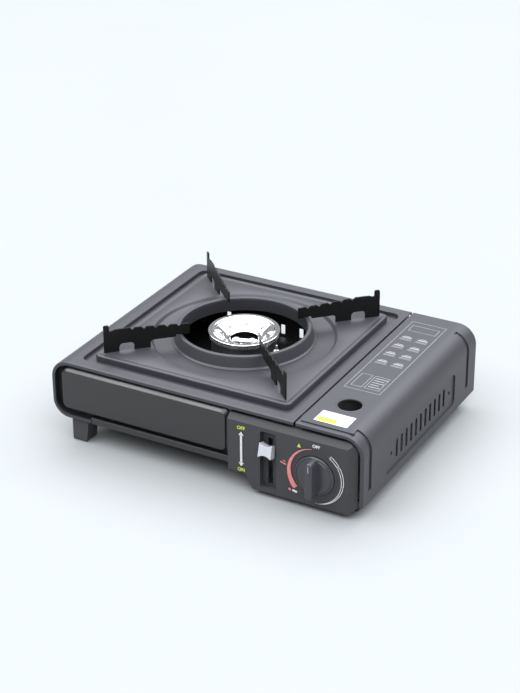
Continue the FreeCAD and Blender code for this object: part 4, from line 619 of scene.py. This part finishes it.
@dataclass(frozen=True)
class Part:
    """The name, finish and place in the mechanism of one new piece."""

    name: str
    finish: Finish
    body: Body
    slot: str
    replaces: tuple[str, ...] = ()
    crease: float = math.radians(32.0)

    def build(self, points: Array, faces: Array) -> Piece:
        """Makes the piece's mesh and hands it to the frame.

        Args:
            points: the points, in metres.
            faces: the point numbers of each face.

        Returns:
            The finished piece.
        """
        mesh = bpy.data.meshes.new(self.name)
        mesh.from_pydata(points.reshape(-1, 3).tolist(), [], faces.tolist())
        return self.adopt(mesh)

    def adopt(self, mesh: bpy.types.Mesh) -> Piece:
        """Closes the mesh's seams, turns its faces outwards, dresses it and lets it ride.

        Args:
            mesh: the piece's mesh, in metres.

        Returns:
            The finished piece.
        """
        shape = bmesh.new()
        shape.from_mesh(mesh)
        bmesh.ops.remove_doubles(shape, verts=shape.verts, dist=1e-6)
        bmesh.ops.dissolve_degenerate(shape, edges=shape.edges, dist=1e-7)
        bmesh.ops.recalc_face_normals(shape, faces=shape.faces)
        shape.to_mesh(mesh)
        shape.free()
        mesh.shade_smooth()
        mesh.set_sharp_from_angle(angle=self.crease)
        piece = bpy.data.objects.new(self.name, mesh)
        show(piece)
        paint(piece, self.finish.material())
        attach(piece, self.body.value)
        if self.replaces:
            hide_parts(*self.replaces)
        LOG.info("%s: %d faces", self.name, len(mesh.polygons))
        return piece


@dataclass
class DripTray:
    """Pressed tray: rolled outer edge, skirt, and a round dish with a soft step."""

    part: Part = Part("pressed_tray", Finish.ENAMEL, Body.TRAY, "black_enamel", ("drip_tray",))
    corner: float = 6 * MM
    edge: float = 1.8 * MM
    sheet: float = 1.0 * MM
    hole: float = 66.5 * MM
    step_start: float = 89.6 * MM
    step_end: float = 93.4 * MM
    dish_drop: float = 3.5 * MM
    bead_drop: float = 0.5 * MM
    least_corner: float = 1.5 * MM
    crowding: float = 0.22
    turns: int = 480

    def build(self) -> Piece:
        """Rows run from the hole out over the face, down the skirt and back underneath.

        The points of a row crowd towards the corners, where the outline turns.

        Returns:
            The finished piece.
        """
        low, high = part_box("drip_tray")
        half = np.array([high.x - low.x, high.y - low.y]) / 2
        phi = np.linspace(0, TURN, self.turns, endpoint=False)
        angle = phi + self.crowding * np.sin(4 * phi)
        upper = self.face_rows(angle, half, high.z, low.z, 0.0)
        lower = self.face_rows(angle, half, high.z - self.sheet, low.z, self.sheet)
        rows = np.concatenate([upper, lower[::-1]])
        middle = np.array([(low.x + high.x) / 2, (low.y + high.y) / 2, 0.0])
        return self.part.build(rows + middle, quads(len(rows), self.turns, True, True))

    def face_rows(self, angle: Array, half: Array, top: float, bottom: float, inset: float) -> Array:
        """One side of the sheet.

        The dish is flat to the step, which rises as s*s*(3-2s). Beyond it each row is a
        rounded rectangle, pulled in by a quarter circle over the rolled edge. A shallow
        bead runs just inside that edge.

        Args:
            angle: the angles of the points in a row.
            half: half the tray's width and length.
            top: height of the face.
            bottom: height of the skirt's lower edge.
            inset: how far inside the tray's outline this side lies.

        Returns:
            The rows of points about the tray's middle.
        """
        s = np.linspace(0, 1, 9)
        step_radius = self.step_start + (self.step_end - self.step_start) * s
        step_height = top - self.dish_drop * (1 - s * s * (3 - 2 * s))
        radius = np.concatenate([[self.hole, self.hole + 1 * MM], step_radius])
        height = np.concatenate([[top - self.dish_drop] * 2, step_height])
        round_rows = np.broadcast_to(radius[:, None], (len(radius), len(angle)))
        bead = np.array([7.0, 6.2, 5.4, 4.6, 3.8]) * MM
        dip = np.array([0.0, 0.7, 1.0, 0.7, 0.0]) * self.bead_drop
        turn = np.linspace(0, math.pi / 2, 7)
        pull = self.edge * (1 - np.sin(turn))
        inward = np.concatenate([bead, pull, [0.0]]) + inset
        drop = np.concatenate([dip, self.edge * (1 - np.cos(turn))])
        square_height = np.append(top - drop, bottom)
        corner = np.maximum(self.corner - inward, self.least_corner)[:, None]
        half_x, half_y = half[0] - inward[:, None], half[1] - inward[:, None]
        square_rows = squared_radius(angle[None], half_x, half_y, corner)
        out = np.concatenate([round_rows, square_rows])
        level = np.concatenate([height, square_height])[:, None] + 0 * out
        return np.stack([out * np.cos(angle), out * np.sin(angle), level], axis=-1)


@dataclass
class WindCollar:
    """Folded ring round the burner, with a rolled lip and a flared foot."""

    part: Part = Part("rolled_collar", Finish.ENAMEL, Body.TRAY, "black_enamel", ("wind_collar",))
    foot: float = 69.5 * MM
    flare: float = 72.0 * MM
    top: float = 67.5 * MM
    inner: float = 63.0 * MM
    sheet: float = 1.0 * MM
    turns: int = 240

    def build(self) -> Piece:
        """The rounded profile goes round the burner's axis: x = r cos t, y = r sin t.

        Returns:
            The finished piece.
        """
        low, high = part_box("wind_collar")
        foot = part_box("drip_tray")[1].z - DripTray.dish_drop
        corners = np.array([
            (self.foot - self.sheet, foot),
            (self.flare, foot),
            (self.flare, foot + 0.6 * self.sheet),
            (self.foot + 0.4 * self.sheet, foot + 1.4 * self.sheet),
            (self.top + 0.4 * self.sheet, high.z - 2.2 * self.sheet),
            (self.top - 0.4 * self.sheet, high.z),
            (self.inner + 0.6 * self.sheet, high.z),
            (self.inner, high.z - 1.6 * self.sheet),
            (self.inner, low.z),
            (self.inner + self.sheet, low.z),
            (self.inner + self.sheet, high.z - 2.2 * self.sheet),
            (self.inner + 1.6 * self.sheet, high.z - self.sheet),
            (self.top - 1.4 * self.sheet, high.z - self.sheet),
            (self.top - self.sheet, high.z - 2.4 * self.sheet),
        ])
        rows = lathe(softened(corners, 0.9 * MM, 5), self.turns, burner_axis())
        return self.part.build(rows, quads(len(rows), self.turns, True, True))


def burner_axis() -> Array:
    """Where the burner's axis meets the table."""
    low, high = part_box("burner_cap")
    return np.array([(low.x + high.x) / 2, (low.y + high.y) / 2, 0.0])


def lathe(profile: Array, turns: int, centre: Array) -> Array:
    """A profile of radius and height carried round an upright axis.

    Args:
        profile: radius and height of each point of the profile.
        turns: points in one turn.
        centre: where the axis meets the table.

    Returns:
        One row of points for each point of the profile.
    """
    angle = np.linspace(0, TURN, turns, endpoint=False)
    radius, height = profile[:, :1], profile[:, 1:2]
    rows = [radius * np.cos(angle), radius * np.sin(angle), height + 0 * angle]
    return np.stack(rows, axis=-1) + centre


@dataclass
class BurnerBowl:
    """Chrome bowl of the burner: flat rim, fluted wall with pressed ribs, open throat."""

    part: Part = Part("burner_bowl", Finish.CHROME, Body.HOUSING, "bright_chrome", ("burner_cap",))
    rim: float = 36 * MM
    rim_inner: float = 30.5 * MM
    throat: float = 20 * MM
    hole: float = 14 * MM
    sheet: float = 1.0 * MM
    rim_thick: float = 1.5 * MM
    ribs: int = 8
    first_rib: float = 0.4
    rib_width: float = 0.06
    rib_height: float = 2.6 * MM
    rib_inward: float = 0.75
    rib_upward: float = 0.66
    profile_points: int = 150
    turns: int = 360

    def build(self) -> Piece:
        """The lathed wall is pushed in at each rib by height * exp(-(angle/width)^2).

        Returns:
            The finished piece.
        """
        low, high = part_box("burner_cap")
        under_rim = high.z - self.rim_thick
        inner = [
            (self.rim, high.z),
            (self.rim_inner + 0.8 * MM, high.z),
            (self.rim_inner - 0.6 * MM, high.z - 1.4 * MM),
            (self.throat + 1.5 * MM, low.z + 2.6 * MM),
            (self.throat - 1.0 * MM, low.z + self.sheet),
            (self.hole + 0.9 * MM, low.z + self.sheet),
            (self.hole, low.z + 0.6 * MM),
        ]
        outer = [
            (self.hole, low.z),
            (self.throat, low.z),
            (self.rim_inner - 2 * self.sheet, under_rim - self.sheet),
            (self.rim_inner - self.sheet, under_rim),
            (self.rim, under_rim),
        ]
        profile = divided(softened(np.array(inner + outer), 0.8 * MM, 6), self.profile_points)
        rows = lathe(profile, self.turns, np.zeros(3))
        angle = np.linspace(0, TURN, self.turns, endpoint=False)
        pitch = TURN / self.ribs
        away = (angle - self.first_rib + pitch / 2) % pitch - pitch / 2
        rib = np.exp(-((away / self.rib_width) ** 2))
        radius = profile[:, :1]
        middle = (self.rim_inner + self.throat) / 2
        reach = (self.rim_inner - self.throat) / 2 - 1.2 * MM
        window = np.clip(1 - ((radius - middle) / reach) ** 2, 0, 1) ** 0.5
        push = self.rib_height * window * rib
        rows[..., 0] -= self.rib_inward * push * np.cos(angle)
        rows[..., 1] -= self.rib_inward * push * np.sin(angle)
        rows[..., 2] += self.rib_upward * push
        return self.part.build(rows + burner_axis(), quads(len(rows), self.turns, True, True))


@dataclass
class Knob:
    """Gas knob: a bevelled dial with a fine ring, and a tapered grip across it."""

    radius: float = 20 * MM
    rim_depth: float = 3.0 * MM
    grip_half: float = 4.25 * MM
    grip_reach: float = 19.5 * MM
    mark_low: float = 10.0
    mark_high: float = 16.6
    mark_width: float = 1.1
    turns: int = 160

    @property
    def axis(self) -> Array:
        """The knob's axis, read from its solid."""
        low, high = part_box("control_knob")
        return np.array([(low.x + high.x) / 2, 0.0, (low.z + high.z) / 2])

    def build(self) -> None:
        """The dial replaces the knob's solid, and the grip and its mark sit on it."""
        low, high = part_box("control_knob")
        face = high.y - self.rim_depth
        dial = Part("knob_dial", Finish.KNOB, Body.KNOB, "knob_plastic", ("control_knob",))
        profile = np.array([
            (0.0, high.y),
            (self.radius, high.y),
            (self.radius, face + 1.2 * MM),
            (self.radius - 1.1 * MM, face + 0.1 * MM),
            (self.radius - 1.5 * MM, face),
            (self.radius - 2.0 * MM, face + 0.5 * MM),
            (self.radius - 2.6 * MM, face + 0.5 * MM),
            (self.radius - 3.0 * MM, face),
            (0.0, face - 0.3 * MM),
        ])
        angle = np.linspace(0, TURN, self.turns, endpoint=False)
        radius, depth = profile[:, :1], profile[:, 1:2]
        rows = [radius * np.cos(angle), depth + 0 * angle, radius * np.sin(angle)]
        points = np.stack(rows, axis=-1) + self.axis
        dial.build(points, quads(len(profile), self.turns, False, True))
        self.build_grip(face, low.y + 0.05 * MM)
        self.build_mark(low.y)

    def build_grip(self, face: float, front: float) -> None:
        """Each row is a rounded rectangle that shrinks towards the front, with a soft edge.

        Args:
            face: where the grip leaves the dial.
            front: the grip's front face.
        """
        depth = np.array([face + 0.2 * MM, face - 0.4 * MM, front + 1.2 * MM, front + 0.5 * MM])
        depth = np.append(depth, [front + 0.15 * MM, front, front])
        inward = np.array([-0.3, 0.0, 0.5, 0.75, 1.15, 1.8, 4.2]) * MM
        angle = np.linspace(0, TURN, self.turns, endpoint=False)
        half_x = (self.grip_half - inward)[:, None]
        half_z = (self.grip_reach - inward)[:, None]
        corner = np.minimum(self.grip_half - 0.35 * MM, half_x * 0.92)
        out = squared_radius(angle[None], half_x, half_z, corner)
        rows = [out * np.cos(angle), depth[:, None] + 0 * out, out * np.sin(angle)]
        points = np.stack(rows, axis=-1) + self.axis
        points[-1] = self.axis + np.array([0.0, front, 0.0])
        back = np.broadcast_to(self.axis + np.array([0.0, face + 0.2 * MM, 0.0]), (1, self.turns, 3))
        points = np.concatenate([back, points])
        grip = Part("knob_grip", Finish.KNOB, Body.KNOB, "knob_plastic")
        grip.build(points, quads(len(points), self.turns, False, True))

    def build_mark(self, front: float) -> None:
        """A pale pointer at the upper end of the grip.

        Args:
            front: the pointer's front face.
        """
        mark = Part("knob_pointer", Finish.GREY_INK, Body.KNOB, "knob_plastic")
        line = Stencil(mark, front + 0.06 * MM, 0.06 * MM)
        centre = self.axis[[0, 2]] / MM
        low, high = centre + (0.0, self.mark_low), centre + (0.0, self.mark_high)
        line.build([Stencil.bar(low, high, self.mark_width)])


@dataclass
class Stencil:
    """Printing on an upright face: flat outlines, a hair thick, laid just proud of it."""

    part: Part
    face: float
    thick: float = 0.12 * MM

    def build(self, strips: Sequence[Strip]) -> Piece:
        """Each strip is the band between two curves, given a thickness.

        Args:
            strips: pairs of curves, each a list of X and Z in millimetres.

        Returns:
            The printed piece.
        """
        points: list[Array] = []
        faces: list[list[int]] = []
        for near, far in strips:
            count, start = len(near), sum(len(block) for block in points)
            flat = np.stack([near, far, far, near])
            depth = np.array([self.face - self.thick] * 2 + [self.face] * 2)[:, None] + np.zeros(count)
            block = np.stack([flat[..., 0] * MM, depth, flat[..., 1] * MM], axis=-1)
            points.append(block.reshape(-1, 3))
            faces += (quads(4, count, True, False) + start).tolist()
            ends = np.arange(4) * count + start
            faces += [ends.tolist(), (ends + count - 1).tolist()]
        mesh = bpy.data.meshes.new(self.part.name)
        mesh.from_pydata(np.concatenate(points).tolist(), [], faces)
        return self.part.adopt(mesh)

    @staticmethod
    def bar(start: Array, end: Array, width: float, end_width: float | None = None) -> Strip:
        """A straight strip, which may taper.

        Args:
            start: where its middle line starts.
            end: where its middle line ends.
            width: its width at the start.
            end_width: its width at the end, if that differs.

        Returns:
            The strip.
        """
        start, end = np.asarray(start, float), np.asarray(end, float)
        side = np.array([start[1] - end[1], end[0] - start[0]])
        side /= np.linalg.norm(side)
        widths = np.array([width, width if end_width is None else end_width])[:, None] / 2
        line = np.stack([start, end])
        return line + side * widths, line - side * widths

    @staticmethod
    def arc(centre: Array, turns: Pair, inner: Pair, outer: Pair) -> Strip:
        """A curved strip whose two radii run evenly from their first to their second value.

        Args:
            centre: the middle of the curve.
            turns: the angles at its start and end, in degrees.
            inner: the inner radius at its start and end.
            outer: the outer radius at its start and end.

        Returns:
            The strip.
        """
        count = max(3, int(abs(turns[1] - turns[0]) / 2))
        angle = np.radians(np.linspace(turns[0], turns[1], count))
        ray = np.stack([np.cos(angle), np.sin(angle)], axis=-1)
        low = np.linspace(inner[0], inner[1], count)[:, None]
        high = np.linspace(outer[0], outer[1], count)[:, None]
        return centre + ray * low, centre + ray * high


@dataclass
class PanelPrint:
    """Marks on the control panel: the lever's arrow, the flame scale and plain words.

    All places are X and Z in millimetres.
    """

    centre: Array = field(default_factory=lambda: np.array([122.5, 38.9]))
    arrow_x: float = 45.0
    arrow_low: float = 27.4
    arrow_high: float = 64.4
    shaft_width: float = 2.3
    head_width: float = 5.6
    head_length: float = 3.8
    tip_width: float = 0.2
    dot: Pair = (96.4, 17.2)
    line: float = 0.65
    scale_outer: float = 29.8
    cap: float = 1.0
    lever_word: float = 5.0
    knob_word: float = 4.4

    def build(self) -> None:
        """Prints each colour as one piece, and the words as pieces of their own."""
        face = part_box("control_panel")[0].y + 0.03 * MM
        self.stencil("lever_arrow", Finish.WHITE_INK, face).build(self.arrow())
        self.stencil("flame_scale", Finish.RED_INK, face).build(self.flame())
        self.stencil("simmer_scale", Finish.WHITE_INK, face).build(self.simmer())
        self.stencil("spark_mark", Finish.LIME_INK, face).build(self.spark())
        self.word("word_lever_off", "OFF", Finish.LIME_INK, (self.arrow_x, 68.3), self.lever_word, face)
        self.word("word_lever_on", "ON", Finish.LIME_INK, (self.arrow_x, 23.6), self.lever_word, face)
        self.word("word_knob_off", "OFF", Finish.WHITE_INK, (123.6, 69.6), self.knob_word, face)

    def stencil(self, name: str, finish: Finish, face: float) -> Stencil:
        """A stencil on the panel's face."""
        return Stencil(Part(name, finish, Body.HOUSING, "panel_plastic"), face)

    def arrow(self) -> list[Strip]:
        """A straight shaft with a head at each end.

        Returns:
            The strips of the arrow.
        """
        x, low, high = self.arrow_x, self.arrow_low, self.arrow_high
        neck = self.head_length - 0.4
        head = (self.head_width, self.tip_width)
        shaft = Stencil.bar((x, low + neck), (x, high - neck), self.shaft_width)
        upper = Stencil.bar((x, high - self.head_length), (x, high), *head)
        lower = Stencil.bar((x, low + self.head_length), (x, low), *head)
        return [shaft, upper, lower]

    def flame(self) -> list[Strip]:
        """The arc that widens from off to full, and its small marks.

        Returns:
            The strips of the scale.
        """
        sweep = Stencil.arc(self.centre, (97.0, 222.0), (27.0, 24.2), (27.3, 29.6))
        dot = Stencil.arc(np.array(self.dot), (0.0, 360.0), (0.05, 0.05), (1.3, 1.3))
        low = Stencil.bar((86.4, 44.4), (92.6, 42.6), 1.3)
        high = Stencil.bar((89.4, 46.4), (92.4, 45.4), 0.9)
        return [sweep, dot, low, high]

    def simmer(self) -> list[Strip]:
        """Three outlined lengths of arc that narrow towards the foot, and a plain bar.

        Returns:
            The strips of the scale.
        """
        spans = [
            ((57.0, 33.0), (26.6, 26.6)),
            ((31.0, -10.0), (26.6, 27.0)),
            ((-12.0, -88.0), (27.0, 29.2)),
        ]
        outer = (self.scale_outer, self.scale_outer)
        rim = (self.scale_outer - self.line, self.scale_outer - self.line)
        strips = [Stencil.bar((99.2, 17.0), (104.2, 16.0), 2.2)]
        for turns, inner in spans:
            edge = (inner[0] + self.line, inner[1] + self.line)
            strips.append(Stencil.arc(self.centre, turns, inner, edge))
            strips.append(Stencil.arc(self.centre, turns, rim, outer))
            strips.append(Stencil.arc(self.centre, (turns[0], turns[0] - self.cap), edge, rim))
            strips.append(Stencil.arc(self.centre, (turns[1] + self.cap, turns[1]), edge, rim))
        return strips

    def spark(self) -> list[Strip]:
        """A small upright wedge beside the start of the flame scale."""
        return [Stencil.bar((106.0, 64.6), (106.0, 68.6), 3.8, 0.3)]

    def word(
        self, name: str, text: str, finish: Finish, middle: Pair, size: float, face: float
    ) -> None:
        """Plain lettering, made a mesh and laid on the panel.

        Args:
            name: the piece's name.
            text: the word.
            finish: its ink.
            middle: X and Z of its middle, in millimetres.
            size: height of its line, in millimetres.
            face: the panel's face.
        """
        curve = bpy.data.curves.new(name, "FONT")
        curve.body = text
        curve.size = size * MM
        curve.align_x = curve.align_y = "CENTER"
        curve.extrude = 0.06 * MM
        curve.offset = 0.14 * MM
        letter = bpy.data.objects.new(name, curve)
        show(letter)
        bpy.context.view_layer.update()
        solved = letter.evaluated_get(bpy.context.evaluated_depsgraph_get())
        mesh = bpy.data.meshes.new_from_object(solved)
        bpy.data.objects.remove(letter)
        lay = Matrix.Translation((middle[0] * MM, face - 0.06 * MM, middle[1] * MM))
        mesh.transform(lay @ Matrix.Rotation(math.pi / 2, 4, "X"))
        Part(name, finish, Body.HOUSING, "panel_plastic").adopt(mesh)


@dataclass
class LidPrint:
    """Plain pale frame and bars printed on the lid, with no words.

    All places are X and Y in millimetres.
    """

    left: float = 108.0
    right: float = 145.0
    front: float = -37.0
    rear: float = 119.0
    line: float = 0.45
    margin: float = 4.0
    column_pitch: float = 17.0
    row_pitch: float = 19.0
    block: float = 26.0
    lengths: tuple[float, ...] = (13.0, 11.0, 13.0, 9.0, 12.0)
    length_pitch: float = 4.4

    def build(self) -> None:
        """A frame, a header box, two columns of plain bars and a block of fine lines."""
        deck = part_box("cartridge_lid")[1].z
        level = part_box("body_shell")[1].z
        part = Part("lid_print", Finish.GREY_INK, Body.LID, "black_enamel")
        strips = self.frame(self.left, self.right, self.front, self.rear)
        left, right = self.left + self.margin, self.right - self.margin
        strips += self.frame(left, right, self.rear - 20, self.rear - 8)
        for row in range(4):
            for column in range(2):
                place = (self.left + 10 + self.column_pitch * column, self.rear - 36 - self.row_pitch * row)
                strips += self.stack(*place)
        base = self.front + 6
        strips += self.frame(left, self.left + 15, base, base + self.block)
        strips += self.frame(self.left + 18, right, base, base + self.block)
        for row, length in enumerate(self.lengths):
            start = (self.left + 20, base + 22 - self.length_pitch * row)
            strips.append(Stencil.bar(start, (start[0] + length, start[1]), 1.1))
        self.lay(part, strips, min(deck, level) + 0.02 * MM)

    def frame(self, left: float, right: float, front: float, rear: float) -> list[Strip]:
        """Four thin lines round a rectangle.

        Args:
            left: X of its left side.
            right: X of its right side.
            front: Y of its front side.
            rear: Y of its rear side.

        Returns:
            The four strips.
        """
        half = self.line / 2
        return [
            Stencil.bar((left - half, front), (right + half, front), self.line),
            Stencil.bar((left - half, rear), (right + half, rear), self.line),
            Stencil.bar((left, front + half), (left, rear - half), self.line),
            Stencil.bar((right, front + half), (right, rear - half), self.line),
        ]

    def stack(self, x: float, y: float) -> list[Strip]:
        """A small stack of plain bars.

        Args:
            x: the stack's middle, to the right.
            y: the wide bar's middle, to the back.

        Returns:
            The strips of the stack.
        """
        wide = Stencil.bar((x - 5.2, y), (x + 5.2, y), 2.0)
        fine = [Stencil.bar((x - 6, y - drop), (x + 6, y - drop), 0.6) for drop in (3.4, 5.2)]
        return [wide, Stencil.bar((x - 3.4, y + 2.6), (x + 3.4, y + 2.6), 1.0), *fine]

    def lay(self, part: Part, strips: Sequence[Strip], level: float) -> None:
        """Prints the strips, whose second number is Y, flat on the lid.

        Args:
            part: the printed piece.
            strips: the strips to print.
            level: height of the lid's face, in metres.
        """
        sheet = Stencil(part, 0.0, 0.1 * MM).build(strips)
        turn = Matrix(((1, 0, 0, 0), (0, 0, 1, 0), (0, -1, 0, level), (0, 0, 0, 1)))
        sheet.data.transform(turn)


@dataclass
class SightRing:
    """Pressed lip round the sight hole in the lid."""

    part: Part = Part("sight_lip", Finish.ENAMEL, Body.LID, "black_enamel")
    middle: Array = field(default_factory=lambda: np.array([129.5, -68.0, 0.0]) * MM)
    inner: float = 11.5 * MM
    outer: float = 13.8 * MM
    rise: float = 0.45 * MM
    turns: int = 96

    def build(self) -> Piece:
        """A low rounded ring of section (r, z) on the lid's face.

        Returns:
            The finished piece.
        """
        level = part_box("body_shell")[1].z
        corners = np.array([
            (self.inner, level + 0.02 * MM),
            (self.inner + 0.2 * MM, level + self.rise),
            (self.outer - 1.0 * MM, level + self.rise),
            (self.outer, level + 0.02 * MM),
        ])
        rows = lathe(softened(corners, 0.5 * MM, 4), self.turns, self.middle)
        return self.part.build(rows, quads(len(rows), self.turns, True, True))


@dataclass(frozen=True)
class Viewpoint:
    """The camera at the photograph's angle."""

    place: Triple = (0.7869, -1.4294, 0.9238)
    turn: float = math.radians(28.932)
    dip: float = math.radians(27.173)
    roll: float = math.radians(-0.326)
    focal_pixels: float = 1858.04
    tall_pixels: float = 693.0
    film: float = 36.0

    def build(self) -> Piece:
        """Looks along the dip and turn, then rolls about the line of sight.

        Returns:
            The camera.
        """
        ahead = Vector((
            -math.sin(self.turn) * math.cos(self.dip),
            math.cos(self.turn) * math.cos(self.dip),
            -math.sin(self.dip),
        ))
        level = Vector((math.cos(self.turn), math.sin(self.turn), 0.0))
        upright = level.cross(ahead)
        right = level * math.cos(self.roll) + upright * math.sin(self.roll)
        up = upright * math.cos(self.roll) - level * math.sin(self.roll)
        data = bpy.data.cameras.new("photo_view")
        data.sensor_fit = "VERTICAL"
        data.sensor_height = self.film
        data.lens = self.focal_pixels * self.film / self.tall_pixels
        camera = bpy.data.objects.new("photo_view", data)
        axes = Matrix((right, up, -ahead)).transposed().to_4x4()
        camera.matrix_world = Matrix.Translation(self.place) @ axes
        show(camera)
        bpy.context.scene.camera = camera
        return camera


@dataclass(frozen=True)
class Softbox:
    """One large soft light that faces a point on the stove."""

    name: str
    place: Triple
    size: Pair
    watts: float
    aim: Triple = (0.0, 0.0, 0.06)

    def build(self) -> None:
        """Hangs the light and turns its face to the stove."""
        data = bpy.data.lights.new(self.name, "AREA")
        data.shape = "RECTANGLE"
        data.size, data.size_y = self.size
        data.energy = self.watts
        lamp = bpy.data.objects.new(self.name, data)
        lamp.location = self.place
        ahead = Vector(self.aim) - Vector(self.place)
        lamp.rotation_euler = ahead.to_track_quat("-Z", "Y").to_euler()
        show(lamp)


@dataclass(frozen=True)
class Studio:
    """The table, the lights and the pale room around them."""

    half_table: float = 5.0
    room: Colour = (0.95, 0.975, 1.0)
    low_glow: float = 0.3
    high_glow: float = 5.0
    top_glow: float = 3.0

    def build(self) -> None:
        """Lays the table, hangs the softboxes and sets the room's glow."""
        half = self.half_table
        corners = [(-half, -half, 0), (half, -half, 0), (half, half, 0), (-half, half, 0)]
        mesh = bpy.data.meshes.new("table_top")
        mesh.from_pydata(corners, [], [(0, 1, 2, 3)])
        table = bpy.data.objects.new("table_top", mesh)
        table.data.materials.append(Table().build())
        show(table)
        for light in self.lights():
            light.build()
        world = bpy.data.worlds.new("room")
        world.use_nodes = True
        self.light_room(world.node_tree)
        bpy.context.scene.world = world
        bpy.context.scene.view_settings.view_transform = "Standard"

    def light_room(self, tree: bpy.types.NodeTree) -> None:
        """The room is dim up to half its height and bright above, as under a lit ceiling.

        Args:
            tree: the world's node tree.
        """
        where = tree.nodes.new("ShaderNodeTexCoord")
        split = tree.nodes.new("ShaderNodeSeparateXYZ")
        ramp = tree.nodes.new("ShaderNodeValToRGB")
        low, high, top = self.low_glow, self.high_glow, self.top_glow
        stops = ((0.0, 2 * low), (0.52, low), (0.62, high), (0.9, high), (1.0, top))
        while len(ramp.color_ramp.elements) < len(stops):
            ramp.color_ramp.elements.new(1.0)
        for element, (height, glow) in zip(ramp.color_ramp.elements, stops):
            element.position = height
            element.color = (*(part * glow / high for part in self.room), 1.0)
        background = tree.nodes["Background"]
        background.inputs["Strength"].default_value = high
        tree.links.new(where.outputs["Generated"], split.inputs[0])
        tree.links.new(split.outputs["Z"], ramp.inputs[0])
        tree.links.new(ramp.outputs["Color"], background.inputs["Color"])

    def lights(self) -> list[Softbox]:
        """One at the front left that draws the front edges, and one above at the back."""
        return [
            Softbox("edge_light", (-0.86, -0.91, 1.55), (1.0, 0.5), 5.0),
            Softbox("back_light", (0.5, 1.3, 1.5), (1.4, 0.6), 4.0),
        ]


def main() -> None:
    """Dresses the solids, builds the finer pieces, and sets the studio and the camera."""
    logging.basicConfig(level=logging.INFO, format="%(message)s")
    dress_solids()
    DripTray().build()
    WindCollar().build()
    BurnerBowl().build()
    Knob().build()
    PanelPrint().build()
    LidPrint().build()
    SightRing().build()
    Studio().build()
    Viewpoint().build()


if __name__ == "__main__":
    main()
